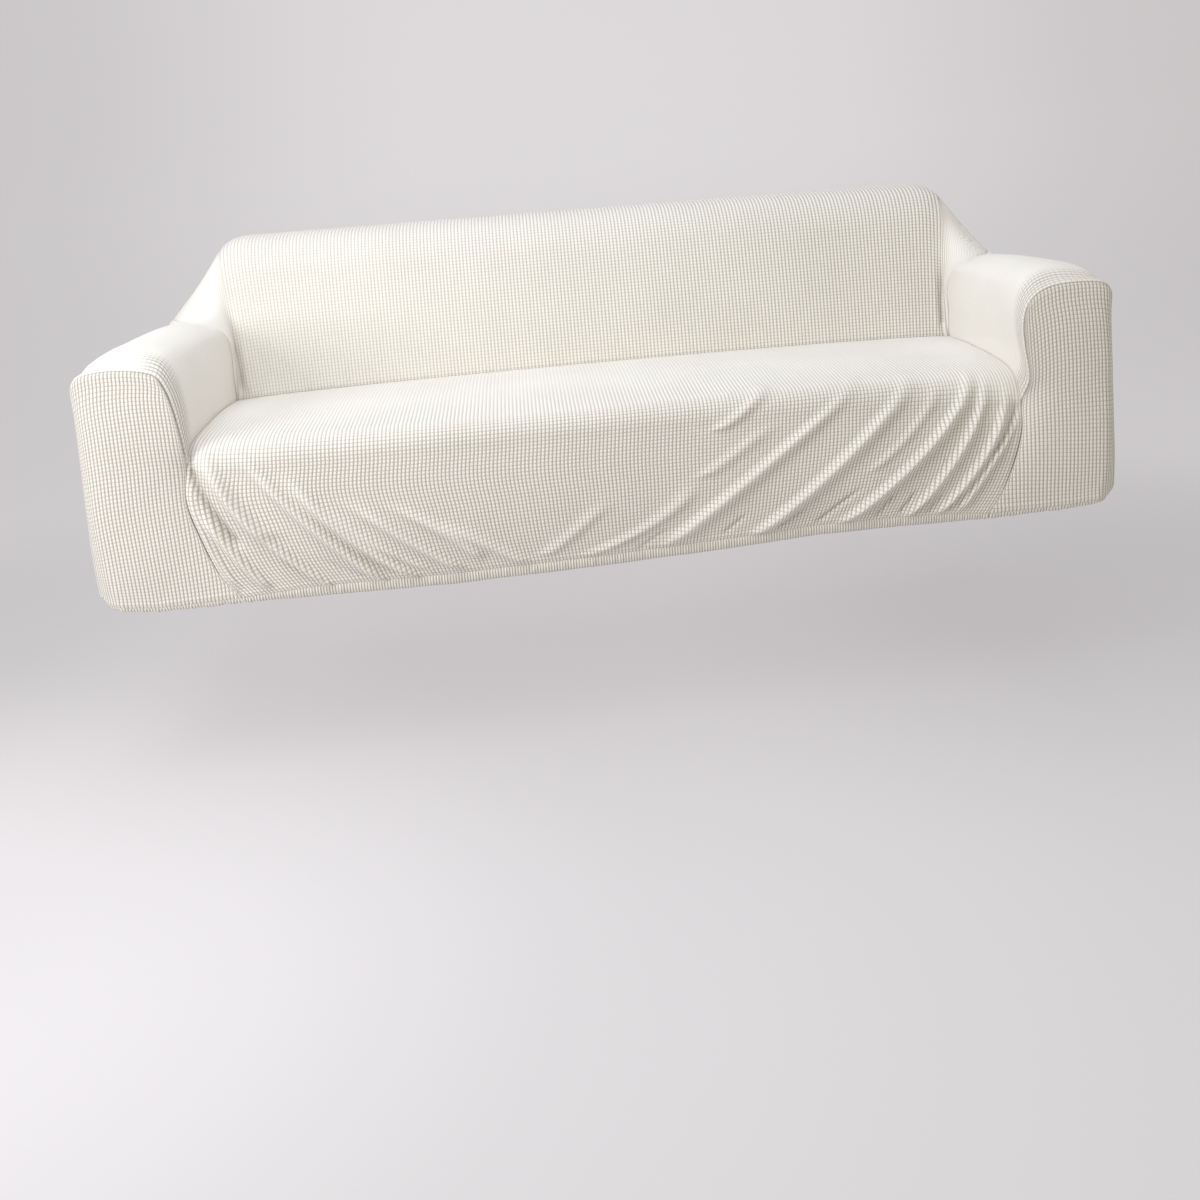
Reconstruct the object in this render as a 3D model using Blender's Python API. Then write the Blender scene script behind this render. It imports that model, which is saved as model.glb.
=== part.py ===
"""Stretch slipcover of a three-seat sofa with square arms, in the shape that it takes on the sofa.

The cover is an empty shell of one knitted cloth, open underneath, sewn from seven panels. Units are
metres. +Z is up, +X is to the right of someone who faces the cover, and its front faces -Y. The origin
is the middle of the box around the cover, at the lowest point of the hem.

Every panel is a grid of points between its seams. Two panels that are sewn together take the points of
their seam from the same curve, so they meet along it, and a small sewing gap keeps them apart.
"""

import math
from typing import NamedTuple

import bpy
import numpy as np

# Driving sizes of the cover
HALF_WIDTH = 1.108  # middle to the outer side of an arm
SIDE_SEAM_X = 1.102  # the upright seams lie a little inside the puffed sides
CORNER_Y = 0.030  # how far round the front corner the seam of an arm front lies
CREASE_Y = 0.525  # from the arm fronts back to the crease between seat and back
SEAT_EDGE_Z = 0.345
SKIRT_TOP_Z = 0.290  # where the skirt starts to turn over the front of the seat
NOSE_DEPTH = 0.060
BACK_TOP_Z = 0.712
BACK_LEAN = 0.083  # how far the inside back leans backwards over its height
BACK_EDGE_X = 0.878  # the inside back is flat as far as this at the crease
BACK_TOP_FLARE = {-1: 0.038, 1: 0.028}  # how much farther it reaches at the top, left and right
BACK_CORNER_DROP = 0.015
BACK_CORNER_REACH = 0.055
TOP_DEPTH = 0.135  # front to rear of the back's top
REAR_Y = 0.775
REAR_HEM_Y = 0.790
CLOTH = 0.002  # thickness of the knit
HEM_BAND = 0.022  # height of the elastic casing at the lower edge
SEWING_GAP = 0.00025  # each panel stops this far short of its seam

# Steps of the grids
SKIRT_STEPS = 9
SEAT_STEPS = 8
ARM_INNER_STEPS = 6
ARM_TOP_STEPS = 10
ARM_OUTER_STEPS = SKIRT_STEPS + ARM_INNER_STEPS
BACK_TOP_STEPS = 3
REAR_STEPS = ARM_OUTER_STEPS - BACK_TOP_STEPS
BACK_COLUMNS = 24
WING_COLUMNS = 4
BAND_STEPS = 2

# Swell of the panels over the padding that they are stretched on
SKIRT_SWELL = 0.012
SEAT_CROWN = 0.014
BACK_SWELL = 0.016
ARM_TOP_SWELL = 0.013
ARM_SIDE_SWELL = 0.006
ARM_FRONT_SWELL = 0.007
REAR_SWELL = 0.010
WING_SAG = 0.008

IVORY = (0.83, 0.80, 0.74, 1.0)


class Knot(NamedTuple):
    """A point that a seam passes, and the steps of the grid up to the next one."""

    x: float
    y: float
    z: float
    steps: int


class HemRow(NamedTuple):
    """The hem at one place across the front: the line above its band, and how far the band tucks under."""

    x: float
    z: float
    tuck: float


class Lean(NamedTuple):
    """Where a line of the skirt's grid starts at the seat's edge and ends at the hem, and its bend."""

    top_x: float
    hem_x: float
    columns: int
    bend: float


class Fold(NamedTuple):
    """A drag fold of the skirt, from its top past its middle to its foot. A negative height is a crease."""

    top_x: float
    top_z: float
    mid_x: float
    mid_z: float
    foot_x: float
    foot_z: float
    height: float
    width: float


LEFT = -1
RIGHT = 1

# Each arm front's outline, from the hem beside the skirt, up, over the arm and down its outer corner.
# The first knots, down to the one named in ARM_FRONT_PARTS, are also the edge of the skirt.
ARM_FRONT_SEAM = {
    LEFT: (
        Knot(-0.815, 0.004, 0.030, 2),
        Knot(-0.853, 0.006, 0.078, 3),
        Knot(-0.885, 0.010, 0.160, 2),
        Knot(-0.904, 0.013, 0.238, 2),
        Knot(-0.897, 0.018, 0.303, 1),
        Knot(-0.896, 0.006, 0.352, 2),
        Knot(-0.904, 0.000, 0.430, 2),
        Knot(-0.914, 0.000, 0.470, 1),
        Knot(-0.929, 0.000, 0.498, 2),
        Knot(-0.956, 0.000, 0.511, 2),
        Knot(-1.005, 0.000, 0.519, 2),
        Knot(-1.056, 0.001, 0.517, 2),
        Knot(-1.084, 0.006, 0.507, 2),
        Knot(-1.099, 0.018, 0.486, 2),
        Knot(-SIDE_SEAM_X, CORNER_Y, 0.430, 9),
        Knot(-SIDE_SEAM_X, CORNER_Y, 0.110, 4),
        Knot(-SIDE_SEAM_X + 0.004, CORNER_Y, 0.052, 0),
    ),
    RIGHT: (
        Knot(0.795, 0.004, 0.032, 2),
        Knot(0.832, 0.006, 0.082, 3),
        Knot(0.865, 0.011, 0.150, 2),
        Knot(0.884, 0.018, 0.212, 2),
        Knot(0.889, 0.030, 0.264, 1),
        Knot(0.900, 0.006, 0.316, 2),
        Knot(0.890, 0.000, 0.396, 2),
        Knot(0.888, 0.000, 0.440, 1),
        Knot(0.897, 0.000, 0.480, 2),
        Knot(0.922, 0.000, 0.508, 2),
        Knot(0.960, 0.000, 0.523, 2),
        Knot(1.024, 0.001, 0.526, 2),
        Knot(1.077, 0.005, 0.518, 2),
        Knot(1.098, 0.016, 0.498, 2),
        Knot(SIDE_SEAM_X, CORNER_Y, 0.440, 9),
        Knot(SIDE_SEAM_X, CORNER_Y, 0.110, 4),
        Knot(SIDE_SEAM_X - 0.004, CORNER_Y, 0.052, 0),
    ),
}

# The crease between the seat and the inside of each arm, from the skirt's top corner to the back.
SEAT_SIDE_SEAM = {
    LEFT: (
        Knot(-0.897, 0.018, 0.303, 1),
        Knot(-0.897, 0.034, 0.325, 1),
        Knot(-0.897, 0.072, 0.338, 2),
        Knot(-0.897, 0.200, 0.343, 2),
        Knot(-0.897, 0.370, 0.340, 2),
        Knot(-0.897, CREASE_Y, 0.326, 0),
    ),
    RIGHT: (
        Knot(0.889, 0.030, 0.264, 1),
        Knot(0.895, 0.060, 0.296, 1),
        Knot(0.897, 0.104, 0.320, 2),
        Knot(0.897, 0.220, 0.330, 2),
        Knot(0.897, 0.370, 0.330, 2),
        Knot(0.897, CREASE_Y, 0.322, 0),
    ),
}

# The rear seam of each arm, from the seat's rear corner, up the inside of the arm, across its top and
# back along its outer edge. Left and right are alike but for the height of their first knot.
ARM_REAR_RISE = (
    Knot(0.898, 0.524, 0.385, 2),
    Knot(0.898, 0.526, 0.448, 1),
    Knot(0.898, 0.498, 0.490, 1),
    Knot(0.904, 0.458, 0.516, 3),
    Knot(0.945, 0.478, 0.529, 4),
    Knot(1.003, 0.532, 0.530, 3),
    Knot(1.035, 0.600, 0.526, 3),
    Knot(1.097, REAR_Y, 0.474, 4),
    Knot(SIDE_SEAM_X, REAR_Y + 0.008, 0.300, 5),
    Knot(SIDE_SEAM_X, REAR_Y + 0.012, 0.110, 3),
    Knot(SIDE_SEAM_X - 0.004, REAR_HEM_Y - 0.004, 0.052, 0),
)

HEM_FRONT = (
    HemRow(-1.108, 0.058, 80),
    HemRow(-1.078, 0.032, 80),
    HemRow(-0.980, 0.020, 76),
    HemRow(-0.815, 0.022, 60),
    HemRow(-0.660, 0.030, 16),
    HemRow(-0.385, 0.024, 12),
    HemRow(-0.075, 0.027, 12),
    HemRow(0.215, 0.034, 12),
    HemRow(0.410, 0.042, 12),
    HemRow(0.590, 0.040, 16),
    HemRow(0.714, 0.034, 26),
    HemRow(0.800, 0.024, 56),
    HemRow(0.983, 0.024, 76),
    HemRow(1.074, 0.030, 80),
    HemRow(1.108, 0.052, 80),
)
HEM_SIDE_Z = 0.026
HEM_SIDE_TUCK = 70
HEM_CORNER_RISE = 0.026
HEM_CORNER_REACH = 0.070

# The lines of the skirt's grid fan out as its drag folds do.
SKIRT_FAN = (
    Lean(-0.897, -0.815, 4, 1.6),
    Lean(-0.886, -0.740, 7, 1.6),
    Lean(-0.850, -0.628, 7, 1.5),
    Lean(-0.785, -0.532, 7, 1.5),
    Lean(-0.700, -0.455, 8, 1.4),
    Lean(-0.620, -0.370, 6, 1.4),
    Lean(-0.540, -0.300, 6, 1.4),
    Lean(-0.450, -0.215, 5, 1.3),
    Lean(0.080, -0.165, 5, 1.2),
    Lean(0.270, -0.080, 8, 1.1),
    Lean(0.455, 0.080, 10, 1.0),
    Lean(0.640, 0.275, 7, 1.0),
    Lean(0.735, 0.390, 8, 1.0),
    Lean(0.815, 0.500, 8, 1.0),
    Lean(0.868, 0.640, 8, 1.1),
    Lean(0.884, 0.740, 4, 1.3),
    Lean(0.889, 0.795, 0, 1.4),
)

SKIRT_FOLDS = (
    Fold(-0.890, 0.270, -0.868, 0.140, -0.790, 0.035, 0.0075, 0.020),
    Fold(-0.895, 0.300, -0.858, 0.210, -0.800, 0.130, -0.0175, 0.016),
    Fold(-0.875, 0.245, -0.833, 0.146, -0.712, 0.034, 0.0112, 0.024),
    Fold(-0.850, 0.300, -0.746, 0.155, -0.622, 0.034, 0.0112, 0.026),
    Fold(-0.765, 0.300, -0.654, 0.145, -0.526, 0.037, 0.0100, 0.027),
    Fold(-0.690, 0.270, -0.589, 0.127, -0.463, 0.034, 0.0112, 0.024),
    Fold(-0.620, 0.205, -0.547, 0.118, -0.430, 0.040, 0.0075, 0.024),
    Fold(-0.561, 0.188, -0.475, 0.120, -0.365, 0.038, 0.0088, 0.026),
    Fold(-0.471, 0.165, -0.397, 0.092, -0.330, 0.034, 0.0075, 0.024),
    Fold(-0.383, 0.134, -0.291, 0.069, -0.225, 0.034, 0.0075, 0.028),
    Fold(-0.060, 0.140, -0.124, 0.087, -0.185, 0.045, 0.0063, 0.032),
    Fold(0.130, 0.160, 0.010, 0.072, -0.085, 0.036, 0.0088, 0.030),
    Fold(0.310, 0.325, 0.235, 0.290, 0.170, 0.255, 0.0100, 0.026),
    Fold(0.300, 0.285, 0.229, 0.226, 0.120, 0.130, 0.0075, 0.030),
    Fold(0.455, 0.325, 0.270, 0.190, 0.080, 0.045, 0.0150, 0.036),
    Fold(0.620, 0.325, 0.461, 0.191, 0.280, 0.044, 0.0163, 0.034),
    Fold(0.697, 0.324, 0.553, 0.181, 0.405, 0.050, 0.0100, 0.028),
    Fold(0.770, 0.322, 0.634, 0.189, 0.481, 0.052, 0.0163, 0.030),
    Fold(0.817, 0.300, 0.714, 0.174, 0.592, 0.050, 0.0125, 0.027),
    Fold(0.862, 0.290, 0.792, 0.186, 0.676, 0.046, 0.0150, 0.026),
    Fold(0.873, 0.250, 0.846, 0.195, 0.800, 0.120, -0.0125, 0.016),
    Fold(0.874, 0.220, 0.825, 0.142, 0.743, 0.044, 0.0100, 0.022),
)


def smoothstep(value):
    """0 to 1 with flat ends."""
    value = np.clip(value, 0.0, 1.0)
    return value * value * (3.0 - 2.0 * value)


def seam(knots):
    """Points of a smooth curve through the knots, with the steps that each knot asks for."""
    corners = np.array([(knot.x, knot.y, knot.z) for knot in knots])
    spans = np.sqrt(np.linalg.norm(np.diff(corners, axis=0), axis=1))
    times = np.concatenate(([0.0], np.cumsum(spans)))
    slopes = np.gradient(corners, times, axis=0)
    points = []
    for index, knot in enumerate(knots[:-1]):
        span = times[index + 1] - times[index]
        for step in range(knot.steps):
            at = step / knot.steps
            points.append(
                (2 * at**3 - 3 * at**2 + 1) * corners[index]
                + (at**3 - 2 * at**2 + at) * span * slopes[index]
                + (3 * at**2 - 2 * at**3) * corners[index + 1]
                + (at**3 - at**2) * span * slopes[index + 1]
            )
    points.append(corners[-1])
    return np.array(points)


def between(start, end, steps):
    """Evenly spaced points of a straight line."""
    return np.linspace(start, end, steps + 1)


def fit_to_seams(plain, lower, upper, start, end, fade=1.0):
    """The plain surface, moved so that its four edges lie on their seams.

    Rows run from the lower seam to the upper one, columns from the start seam to the end one. What
    an edge is moved by fades away over the surface, faster with a larger fade.
    """
    rows, columns = plain.shape[:2]
    up = np.linspace(0.0, 1.0, rows)[:, None, None]
    along = np.linspace(0.0, 1.0, columns)[None, :, None]
    near_lower, near_upper = (1.0 - up) ** fade, up**fade
    near_start, near_end = (1.0 - along) ** fade, along**fade
    low = (lower - plain[0])[None, :, :]
    high = (upper - plain[-1])[None, :, :]
    first = (start - plain[:, 0])[:, None, :]
    last = (end - plain[:, -1])[:, None, :]
    moved = near_lower * low + near_upper * high + near_start * first + near_end * last
    for row_weight, side in ((near_lower, low), (near_upper, high)):
        moved = moved - row_weight * (near_start * side[:, :1] + near_end * side[:, -1:])
    return plain + moved


def stretched(lower, upper, start, end):
    """A cloth stretched between four seams."""
    plain = np.zeros((len(start), len(lower), 3))
    return fit_to_seams(plain, lower, upper, start, end)


def hem_row(x):
    """Height of the line above the front's hem band, and the band's tuck, at a place across the front."""
    places = [row.x for row in HEM_FRONT]
    return (
        np.interp(x, places, [row.z for row in HEM_FRONT]),
        np.interp(x, places, [row.tuck for row in HEM_FRONT]),
    )


def front_hem(xs, start, end):
    """The line above the hem band across a front panel, from one seam to the next."""
    points = np.array([(x, 0.004, hem_row(x)[0]) for x in xs])
    over = smoothstep((np.abs(xs) - 1.045) / (SIDE_SEAM_X - 1.045))
    points[:, 1] += over * (CORNER_Y - 0.004)
    points[0], points[-1] = start, end
    return points


def side_hem(start, end, steps):
    """The line above the hem band along an arm's outer side or the rear, low between its corners."""
    points = between(start, end, steps)
    reach = np.linalg.norm(points[:, :2] - points[0, :2], axis=1)
    near = np.minimum(reach, reach[-1] - reach)
    points[:, 2] = HEM_SIDE_Z + HEM_CORNER_RISE * (1.0 - smoothstep(near / HEM_CORNER_REACH))
    points[0], points[-1] = start, end
    return points


def inward(point):
    """Level direction from the hem towards the hollow under the cover."""
    core_x = np.clip(point[0], -HALF_WIDTH + 0.06, HALF_WIDTH - 0.06)
    core_y = np.clip(point[1], 0.06, REAR_HEM_Y - 0.06)
    toward = np.array([core_x - point[0], core_y - point[1], 0.0])
    return toward / np.linalg.norm(toward)


def with_band(panel):
    """The panel with its hem band added below its first row, turned under where the cover tucks in."""
    rows = [panel[0]]
    for step in range(1, BAND_STEPS + 1):
        turned = []
        for point, above in zip(panel[0], rows[0]):
            front = point[1] < 0.1 and abs(point[0]) < SIDE_SEAM_X - 0.02
            tuck = math.radians(hem_row(point[0])[1] if front else HEM_SIDE_TUCK)
            angle = tuck * (0.6 if step == 1 else 1.2)
            down = np.array([0.0, 0.0, -math.cos(angle)])
            turned.append(above + HEM_BAND / BAND_STEPS * (down + math.sin(angle) * inward(point)))
        rows.insert(0, np.array(turned))
    return np.concatenate([np.array(rows[:-1]), panel])


def fold_height(x, z):
    """How far the skirt stands out at a place on it, from all its drag folds."""
    total = 0.0
    for fold in SKIRT_FOLDS:
        heights = (fold.foot_z, fold.mid_z, fold.top_z)
        crest = np.polyval(np.polyfit(heights, (fold.foot_x, fold.mid_x, fold.top_x), 2), z)
        length = fold.top_z - fold.foot_z
        if not fold.foot_z - 0.1 * length < z < fold.top_z + 0.25 * length:
            continue
        lean = (fold.top_x - fold.foot_x) / length
        across = (x - crest) / math.hypot(1.0, lean) / fold.width
        along = (z - fold.foot_z) / length
        fade = smoothstep((along + 0.1) / 0.3) * smoothstep((1.25 - along) / 0.5)
        total += fold.height * fade * (1.0 - 0.9 * across**2) * math.exp(-(across**2))
    return total


def normals_of(grid):
    """Unit normals of a grid, at its points, outwards where rows rise and columns run to the right."""
    along = np.gradient(grid, axis=1)
    up = np.gradient(grid, axis=0)
    normals = np.cross(along, up)
    return normals / np.linalg.norm(normals, axis=2, keepdims=True)


def seat_and_skirt():
    """The seat and the front skirt in one piece: over the seat, down its front, to the hem."""
    fan_steps = [lean.columns for lean in SKIRT_FAN[:-1]]
    marks = np.concatenate(([0], np.cumsum(fan_steps)))
    columns = np.arange(marks[-1] + 1)
    top_x = np.interp(columns, marks, [lean.top_x for lean in SKIRT_FAN])
    hem_x = np.interp(columns, marks, [lean.hem_x for lean in SKIRT_FAN])
    bend = np.interp(columns, marks, [lean.bend for lean in SKIRT_FAN])
    spread = (top_x / BACK_EDGE_X) ** 2
    rows = SKIRT_STEPS + SEAT_STEPS
    plain = np.zeros((rows + 1, len(columns), 3))
    hem_z = np.array([hem_row(x)[0] for x in hem_x])
    for row in range(SKIRT_STEPS + 1):
        up = row / SKIRT_STEPS
        plain[row, :, 0] = hem_x + (top_x - hem_x) * (1.0 - (1.0 - up) ** bend)
        plain[row, :, 1] = -SKIRT_SWELL * math.sin(math.pi * min(1.0, 0.15 + 0.8 * up))
        plain[row, :, 2] = hem_z + (SKIRT_TOP_Z - hem_z) * up
    nose_steps = SEAT_STEPS // 2
    nose_start = plain[SKIRT_STEPS, 0, 1]
    for step in range(1, nose_steps + 1):
        turn = math.pi / 2 * step / nose_steps
        row = SKIRT_STEPS + step
        plain[row, :, 0] = top_x
        plain[row, :, 1] = nose_start + (NOSE_DEPTH - nose_start) * (1.0 - math.cos(turn))
        plain[row, :, 2] = SKIRT_TOP_Z + (SEAT_EDGE_Z - SKIRT_TOP_Z) * math.sin(turn)
    for step in range(1, SEAT_STEPS - nose_steps + 1):
        back = step / (SEAT_STEPS - nose_steps)
        row = SKIRT_STEPS + nose_steps + step
        plain[row, :, 0] = top_x + (np.linspace(-0.897, 0.897, len(columns)) - top_x) * 0.35 * back
        plain[row, :, 1] = NOSE_DEPTH + (CREASE_Y - NOSE_DEPTH) * back
        plain[row, :, 2] = SEAT_EDGE_Z + SEAT_CROWN * (1.0 - spread) * math.sin(math.pi * back * 0.8)
    crease_x = plain[-1, :, 0]
    crease = crease_line(crease_x)
    sides = []
    for side in (LEFT, RIGHT):
        rise = seam(ARM_FRONT_SEAM[side])[: SKIRT_STEPS + 1]
        sides.append(np.concatenate([rise, seam(SEAT_SIDE_SEAM[side])[1:]]))
    hem = front_hem(hem_x, sides[0][0], sides[1][0])
    crease[0], crease[-1] = sides[0][-1], sides[1][-1]
    panel = fit_to_seams(plain, hem, crease, sides[0], sides[1], fade=5.0)
    heights = np.zeros(panel.shape[:2])
    edge_fade = smoothstep(np.minimum(columns, columns[::-1]) / 3.0)
    for row in range(1, SKIRT_STEPS + nose_steps + 1):
        for column in columns:
            x, _, z = panel[row, column]
            heights[row, column] = fold_height(x, z) * edge_fade[column]
    panel = panel + heights[:, :, None] * normals_of(panel)
    return with_band(panel)


def crease_line(xs):
    """The crease between the seat and the inside back, highest in the middle."""
    ends = {side: SEAT_SIDE_SEAM[side][-1].z for side in (LEFT, RIGHT)}
    level = np.interp(xs, (-0.897, 0.897), (ends[LEFT], ends[RIGHT]))
    lift = 0.016 * np.sqrt(np.clip(1.0 - (xs / 0.897) ** 2, 0.0, 1.0))
    return np.stack([xs, np.full(len(xs), CREASE_Y), level + lift], axis=1)


def arm_rear_seam(side):
    """The rear seam of an arm, from the seat's rear corner round to the hem."""
    corner = SEAT_SIDE_SEAM[side][-1]
    knots = [Knot(abs(corner.x), corner.y, corner.z, 2), *ARM_REAR_RISE]
    return seam(knots) * (side, 1.0, 1.0)


def inside_back():
    """The inside back with the top and the two wings that it stretches over the rear of the arms."""
    rise_steps = ARM_INNER_STEPS + ARM_TOP_STEPS
    even = np.linspace(-1.0, 1.0, BACK_COLUMNS + 1)
    xs = BACK_EDGE_X * (0.2 * even + 0.8 * np.sin(math.pi / 2 * even))
    spread = (xs / BACK_EDGE_X) ** 2
    crease = crease_line(xs)
    middle = np.zeros((rise_steps + BACK_TOP_STEPS + 1, len(xs), 3))
    corner = np.clip((np.abs(xs) - BACK_EDGE_X) / BACK_CORNER_REACH + 1.0, 0.0, 1.0)
    top_z = BACK_TOP_Z - BACK_CORNER_DROP * corner**2
    flare = np.where(xs < 0, -BACK_TOP_FLARE[LEFT], BACK_TOP_FLARE[RIGHT]) * spread**2
    for row in range(rise_steps + 1):
        up = row / rise_steps
        round_off = max(0.0, (up - 0.8) / 0.2)
        middle[row, :, 0] = xs + flare * up
        middle[row, :, 1] = CREASE_Y + BACK_LEAN * up - BACK_SWELL * (1.0 - spread) * math.sin(math.pi * up)
        middle[row, :, 1] += 0.022 * round_off**2
        middle[row, :, 2] = crease[:, 2] + (top_z - 0.010 - crease[:, 2]) * up
        middle[row, :, 2] -= 0.006 * round_off * (1.0 - round_off)
    for step in range(1, BACK_TOP_STEPS + 1):
        back = step / BACK_TOP_STEPS
        row = rise_steps + step
        middle[row, :, 0] = xs + flare
        middle[row, :, 1] = middle[rise_steps, :, 1] + TOP_DEPTH * back
        middle[row, :, 2] = top_z - 0.010 + 0.010 * math.sin(math.pi * min(1.0, back * 0.9))
    wings = []
    for side in (LEFT, RIGHT):
        edge = middle[:, 0 if side == LEFT else -1]
        outer = arm_rear_seam(side)[: rise_steps + BACK_TOP_STEPS + 1]
        wing = np.zeros((len(edge), WING_COLUMNS + 1, 3))
        for column in range(WING_COLUMNS + 1):
            out = column / WING_COLUMNS
            wing[:, column] = edge + (outer - edge) * out
            sag = WING_SAG * math.sin(math.pi * out)
            rows = np.arange(len(edge))
            wing[:, column, 2] -= sag * smoothstep((rows - ARM_INNER_STEPS) / ARM_TOP_STEPS)
        wings.append(wing[:, :0:-1] if side == LEFT else wing[:, 1:])
    return np.concatenate([wings[0], middle, wings[1]], axis=1)


def outside_back(top_edge):
    """The plain rear panel, from the top seam and the wings' slopes down to the hem."""
    start = arm_rear_seam(LEFT)[-REAR_STEPS - 1 :][::-1]
    end = arm_rear_seam(RIGHT)[-REAR_STEPS - 1 :][::-1]
    hem = side_hem(start[0], end[0], len(top_edge) - 1)
    panel = stretched(hem, top_edge, start, end)
    rows, columns = panel.shape[:2]
    swell = np.outer(np.sin(np.pi * np.arange(rows) / (rows - 1)), np.sin(np.pi * np.arange(columns) / (columns - 1)))
    panel[:, :, 1] += REAR_SWELL * swell
    return with_band(panel)


def arm_sleeve(side):
    """The sleeve of one arm: its inside, its top and its outer side down to the hem."""
    front = seam(ARM_FRONT_SEAM[side])[SKIRT_STEPS:]
    rear = arm_rear_seam(side)
    crease = seam(SEAT_SIDE_SEAM[side])
    hem = side_hem(front[-1], rear[-1], SEAT_STEPS)
    # Rows run up from the hem, over the arm and down to the crease, columns from front to rear.
    panel = stretched(hem, crease, front[::-1], rear[::-1])
    rows, columns = panel.shape[:2]
    across = np.arange(rows)
    outer = np.sin(np.pi * np.clip(across / ARM_OUTER_STEPS, 0, 1))
    top = np.sin(np.pi * np.clip((across - ARM_OUTER_STEPS + 1) / (ARM_TOP_STEPS + 2), 0, 1))
    inner = np.sin(np.pi * np.clip((across - ARM_OUTER_STEPS - ARM_TOP_STEPS) / ARM_INNER_STEPS, 0, 1))
    depth = np.arange(columns) / (columns - 1)
    along = smoothstep(depth / 0.15) * smoothstep((1.0 - depth) / 0.15)
    panel[:, :, 2] += ARM_TOP_SWELL * np.outer(top, along)
    panel[:, :, 0] += side * ARM_SIDE_SWELL * np.outer(outer - inner, along)
    return with_band(panel)


def arm_front(side):
    """The upright panel on the front of one arm, wrapped a little round its outer corner."""
    outline = seam(ARM_FRONT_SEAM[side])
    inner = outline[: SKIRT_STEPS + ARM_INNER_STEPS + 1]
    top = outline[SKIRT_STEPS + ARM_INNER_STEPS : SKIRT_STEPS + ARM_INNER_STEPS + ARM_TOP_STEPS + 1]
    outer = outline[SKIRT_STEPS + ARM_INNER_STEPS + ARM_TOP_STEPS :][::-1]
    share = np.linalg.norm(np.diff(top, axis=0), axis=1)
    share = np.concatenate(([0.0], np.cumsum(share))) / share.sum()
    hem = front_hem(inner[0, 0] + (outer[0, 0] - inner[0, 0]) * share, inner[0], outer[0])
    panel = stretched(hem, top, inner, outer)
    rows, columns = panel.shape[:2]
    up = np.linspace(0.0, 1.0, rows)[:, None, None]
    upright = hem[None] * (1.0 - up) + top[None] * up
    panel[:, :, 1] = fit_to_seams(upright, hem, top, inner, outer, fade=5.0)[:, :, 1]
    swell = np.outer(np.sin(np.pi * np.arange(rows) / (rows - 1)), np.sin(np.pi * share))
    panel[:, :, 1] -= ARM_FRONT_SWELL * swell
    return with_band(panel)


def unit(vectors):
    """The vectors, one metre long each."""
    return vectors / np.linalg.norm(vectors, axis=-1, keepdims=True)


def face_mean(grid):
    """Unit normals at a grid's points, each the mean of the faces around it."""
    faces = unit(np.cross(grid[1:, 1:] - grid[:-1, :-1], grid[1:, :-1] - grid[:-1, 1:]))
    total = np.zeros_like(grid)
    for rows in (slice(None, -1), slice(1, None)):
        for columns in (slice(None, -1), slice(1, None)):
            total[rows, columns] += faces
    return unit(total)


def offsets(panels, outward):
    """For each panel, the step from its outer face to its inner face at every point.

    Points that panels share on a seam get the same step, which mitres the seam.
    """
    normals = {name: outward[name] * face_mean(grid) for name, grid in panels.items()}
    gathered = {}
    for name, grid in panels.items():
        for point, normal in zip(grid.reshape(-1, 3), normals[name].reshape(-1, 3)):
            gathered.setdefault(tuple(np.round(point, 6)), []).append(normal)
    steps = {}
    for name, grid in panels.items():
        step = np.zeros_like(grid)
        for place in np.ndindex(grid.shape[:2]):
            near = np.array(gathered[tuple(np.round(grid[place], 6))])
            mean = unit(near.mean(axis=0))
            step[place] = -mean * CLOTH / max(0.6, float((near @ mean).min()))
        steps[name] = step
    return steps


def gap_steps(grid):
    """What moves the edges of a grid a sewing gap inwards, square to each edge and in the cloth."""
    moves = np.zeros_like(grid)
    for turned in (False, True):
        lines = grid.swapaxes(0, 1) if turned else grid
        shifts = moves.swapaxes(0, 1) if turned else moves
        for edge, beside in ((0, 1), (-1, -2)):
            along = unit(np.gradient(lines[edge], axis=0))
            toward = lines[beside] - lines[edge]
            toward = toward - (toward * along).sum(axis=-1, keepdims=True) * along
            shifts[edge] += SEWING_GAP * unit(toward)
    return moves


def knit_material(name):
    """Ivory stretch knit: matt, with no metal in it."""
    material = bpy.data.materials.new(name)
    material.use_nodes = True
    shader = material.node_tree.nodes["Principled BSDF"]
    shader.inputs["Base Color"].default_value = IVORY
    shader.inputs["Roughness"].default_value = 0.9
    shader.inputs["Metallic"].default_value = 0.0
    return material


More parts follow.
